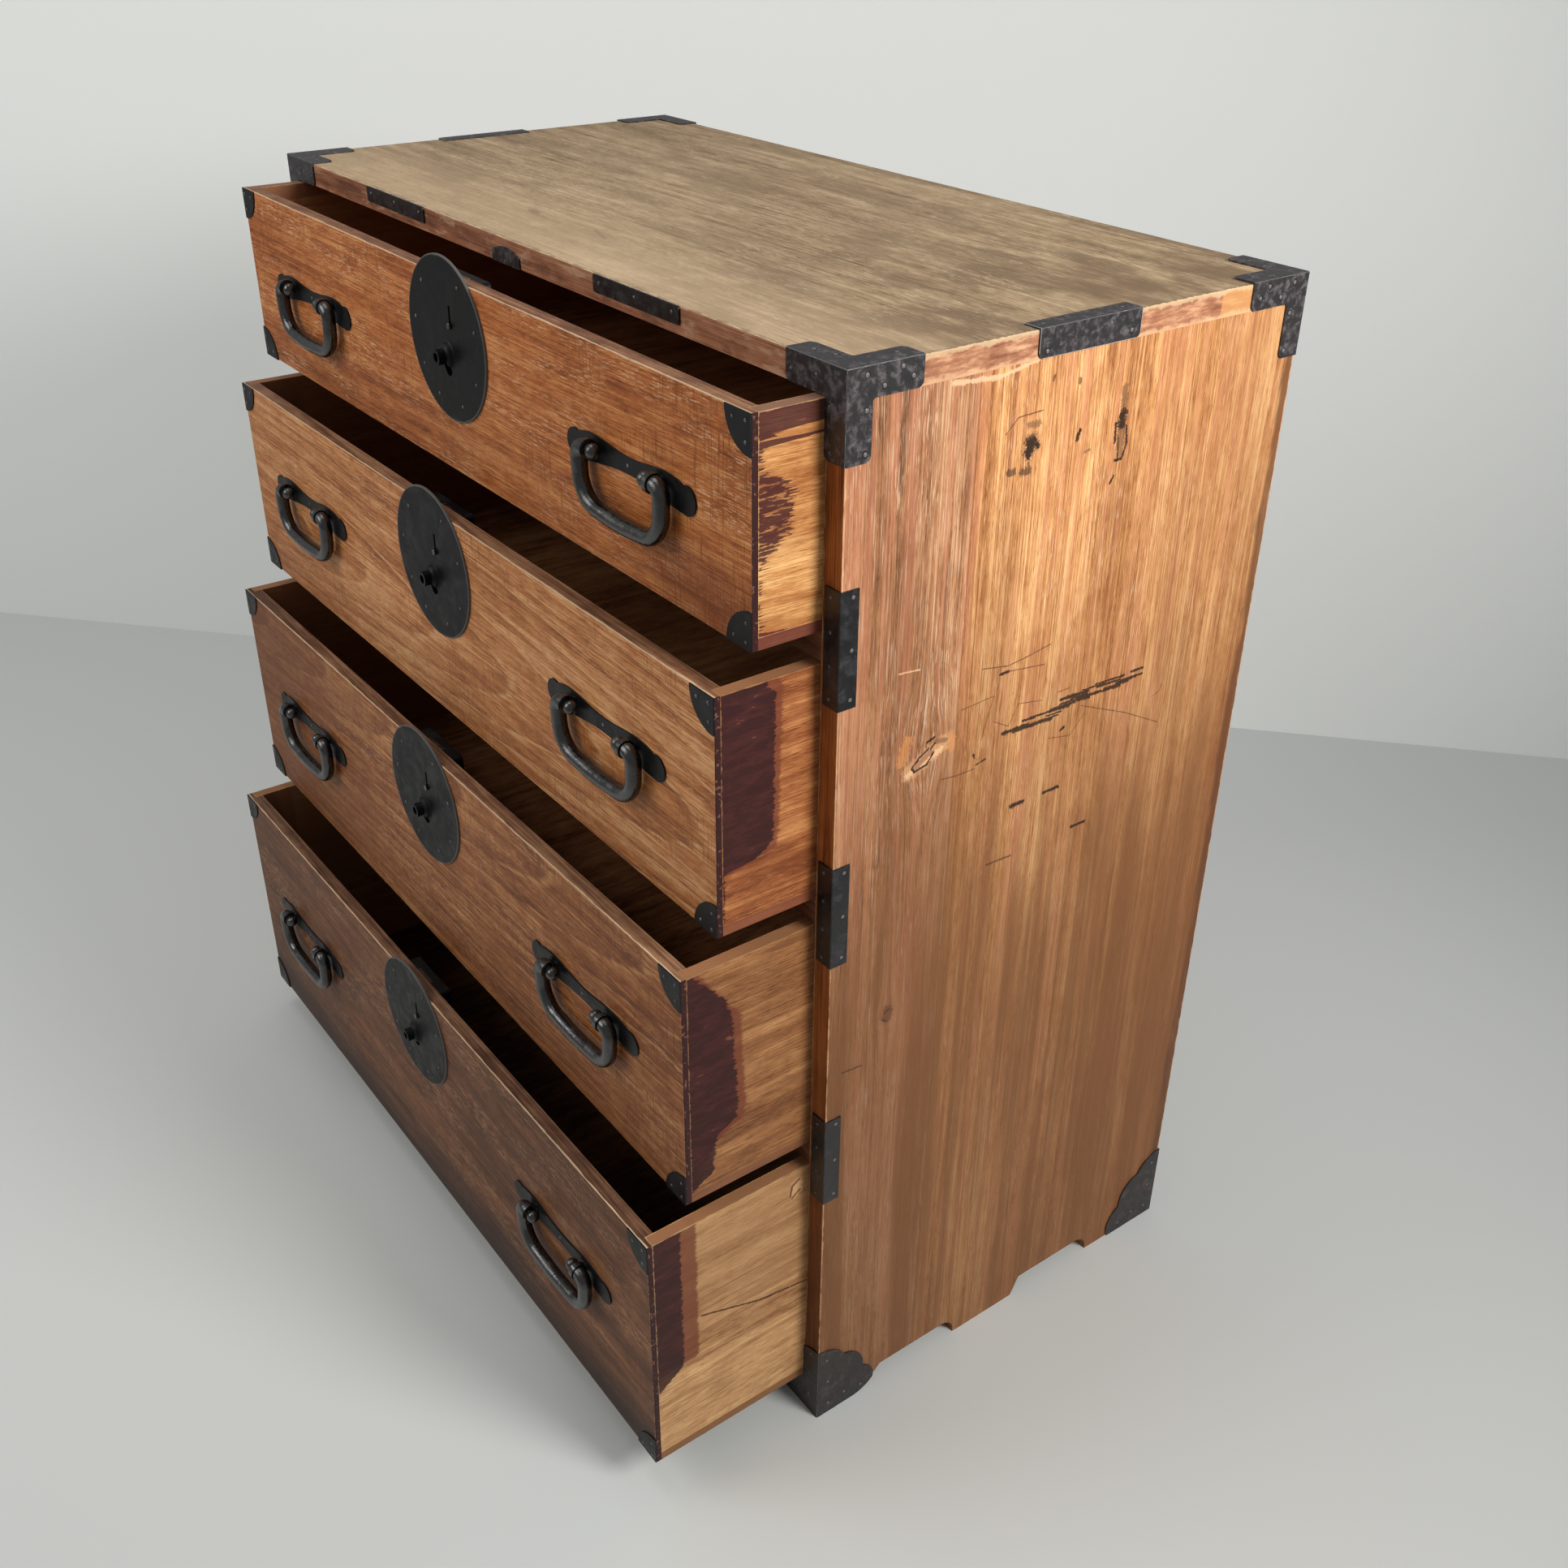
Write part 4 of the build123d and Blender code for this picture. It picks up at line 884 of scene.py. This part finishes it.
def nail_heads(name, body, places, finish):
    """Round heads on faces that look towards -Y, at (x, the face's y, z)."""
    shape = bmesh.new()
    for x, y, z in places:
        radius = NAIL_RADIUS * dice.uniform(0.85, 1.15)
        rings = []
        for reach, rise in NAIL_RINGS:
            ring = []
            for turn in range(NAIL_SIDES):
                angle = math.tau * turn / NAIL_SIDES
                across = radius * reach * math.cos(angle)
                up = radius * reach * math.sin(angle)
                ring.append(shape.verts.new((x + across, y - NAIL_RISE * rise, z + up)))
            rings.append(ring)
        for outer, inner in zip(rings, rings[1:]):
            for turn in range(NAIL_SIDES):
                after = (turn + 1) % NAIL_SIDES
                shape.faces.new((outer[turn], outer[after], inner[after], inner[turn]))
        shape.faces.new(rings[-1])
        shape.faces.new(rings[0][::-1])
    mesh = bpy.data.meshes.new(name)
    shape.to_mesh(mesh)
    shape.free()
    mesh.materials.append(finish)
    mesh.shade_smooth()
    piece = bpy.data.objects.new(name, mesh)
    bpy.context.scene.collection.objects.link(piece)
    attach(piece, body)


def all_nails():
    tones = (rgb(72, 68, 66), rgb(120, 114, 110), rgb(80, 66, 58), rgb(170, 164, 158))
    bright = iron("nail_iron", tones, 0.34, 0.003)
    for name in DRAWERS:
        low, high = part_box(name + "_front")
        plate_low, plate_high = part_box(name + "_lock_plate")
        lock_x = (plate_low.x + plate_high.x) / 2
        lock_z = (plate_low.z + plate_high.z) / 2
        places = []
        for angle in LOCK_NAIL_ANGLES:
            turn = math.radians(angle)
            x = lock_x + LOCK_NAIL_RADIUS * math.cos(turn)
            places.append((x, low.y - LOCK_PLATE, lock_z + LOCK_NAIL_RADIUS * math.sin(turn)))
        for side in (-1, 1):
            for over, up in CORNER_NAILS:
                x = side * (high.x - over)
                places.append((x, low.y - CORNER_PLATE, high.z - up))
                places.append((x, low.y - CORNER_PLATE, low.z + up))
            bail_low, bail_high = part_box(name + ("_left_bail" if side < 0 else "_right_bail"))
            handle_x = (bail_low.x + bail_high.x) / 2
            places.append((handle_x, low.y - SHEET, bail_high.z - HANDLE_NAIL_DROP))
        nail_heads(name + "_nails", name, places, bright)
    places = []
    low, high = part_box("rail_plates")
    for side in (-1, 1):
        for over in RAIL_NAILS:
            places.append((side * (high.x - over * MM), front_y - SHEET, (low.z + high.z) / 2 + 1 * MM))
        for over, down in BRACKET_FRONT_NAILS:
            places.append((side * (side_high.x - over * MM), front_y - SHEET, top_high.z - down * MM))
        for middle in STRAP_MIDDLES:
            for rise in STRAP_NAILS:
                x = side * (side_high.x - STRAP_NAIL_IN * MM)
                places.append((x, front_y - SHEET, middle + rise * MM))
        for over, up in SHOE_FRONT_NAILS:
            places.append((side * (side_high.x - over * MM), front_y - SHEET, up * MM))
    nail_heads("carcase_nails", "carcase", places, bright)


# Stage: a pale floor, the wall behind and soft lamps

FLOOR_HALF = 6.0
WALL_NORMAL = Vector((-0.68069, 0.73257, 0.0))
WALL_DISTANCE = 0.985
WALL_HEIGHT = 4.0
WORLD_STRENGTH = 0.3
KEY_SPREAD = math.radians(96)

# Lamps: place, aim, size, power and colour
LAMPS = {
    "key_lamp": ((1.95, 0.35, 1.65), (0.45, 0.10, 0.95), 0.8, 14.5, (1.0, 0.98, 0.955)),
    "fill_lamp": ((-1.2, -2.6, 2.4), (0.0, 0.0, 0.6), 2.0, 40.0, (1.0, 0.985, 0.96)),
    "top_lamp": ((-0.5, -0.4, 3.2), (0.0, 0.0, 0.6), 1.6, 15.0, (1.0, 1.0, 1.0)),
}


def plane(name, corners, material):
    mesh = bpy.data.meshes.new(name)
    mesh.from_pydata([tuple(corner) for corner in corners], [], [tuple(range(len(corners)))])
    mesh.materials.append(material)
    piece = bpy.data.objects.new(name, mesh)
    bpy.context.scene.collection.objects.link(piece)
    return piece


def lamp(name, place, target, size, power, colour):
    data = bpy.data.lights.new(name, "AREA")
    data.shape = "DISK"
    data.size = size
    data.energy = power
    data.color = colour
    piece = bpy.data.objects.new(name, data)
    piece.location = place
    piece.rotation_mode = "QUATERNION"
    piece.rotation_quaternion = (Vector(target) - Vector(place)).to_track_quat("-Z", "Y")
    piece.visible_camera = False
    bpy.context.scene.collection.objects.link(piece)
    return piece


def make_stage():
    floor = Finish("floor_pale")
    floor.close(rgb(206, 209, 207), 0.7)
    reach = FLOOR_HALF
    corners = ((-reach, -reach, 0), (reach, -reach, 0), (reach, reach, 0), (-reach, reach, 0))
    plane("floor", corners, floor.material)
    wall = Finish("wall_pale")
    wall.close(rgb(230, 233, 231), 0.9)
    foot = WALL_NORMAL * WALL_DISTANCE
    side = WALL_NORMAL.cross(Vector((0, 0, 1))) * FLOOR_HALF
    rise = Vector((0, 0, WALL_HEIGHT))
    corners = (foot - side, foot + side, foot + side + rise, foot - side + rise)
    backdrop = plane("wall", corners, wall.material)
    backdrop.visible_shadow = False
    backdrop.visible_diffuse = False
    backdrop.visible_glossy = False
    # seen from behind, the wall is clear
    clear = wall.node("BsdfTransparent", ())
    geometry = wall.node("NewGeometry", ())
    sides = (geometry.outputs["Backfacing"], wall.shader.outputs[0], clear.outputs[0])
    facing = wall.node("MixShader", sides)
    output = next(node for node in wall.tree.nodes if node.type == "OUTPUT_MATERIAL")
    wall.tree.links.new(facing.outputs[0], output.inputs["Surface"])
    made = [lamp(name, *values) for name, values in LAMPS.items()]
    made[0].data.spread = KEY_SPREAD
    world = bpy.data.worlds.new("pale_world")
    world.use_nodes = True
    world.node_tree.nodes["Background"].inputs["Color"].default_value = (1.0, 1.0, 1.0, 1.0)
    world.node_tree.nodes["Background"].inputs["Strength"].default_value = WORLD_STRENGTH
    bpy.context.scene.world = world


make_camera()
make_stage()
top_wood()
side_wood("right_side_board", 1.0, True)
side_wood("left_side_board", 2.0, False)
for number, drawer in enumerate(DRAWERS):
    front_wood(number, drawer)
    drawer_side_wood(number, drawer)
inner_wood()
back_wood()
iron_finishes()
all_nails()
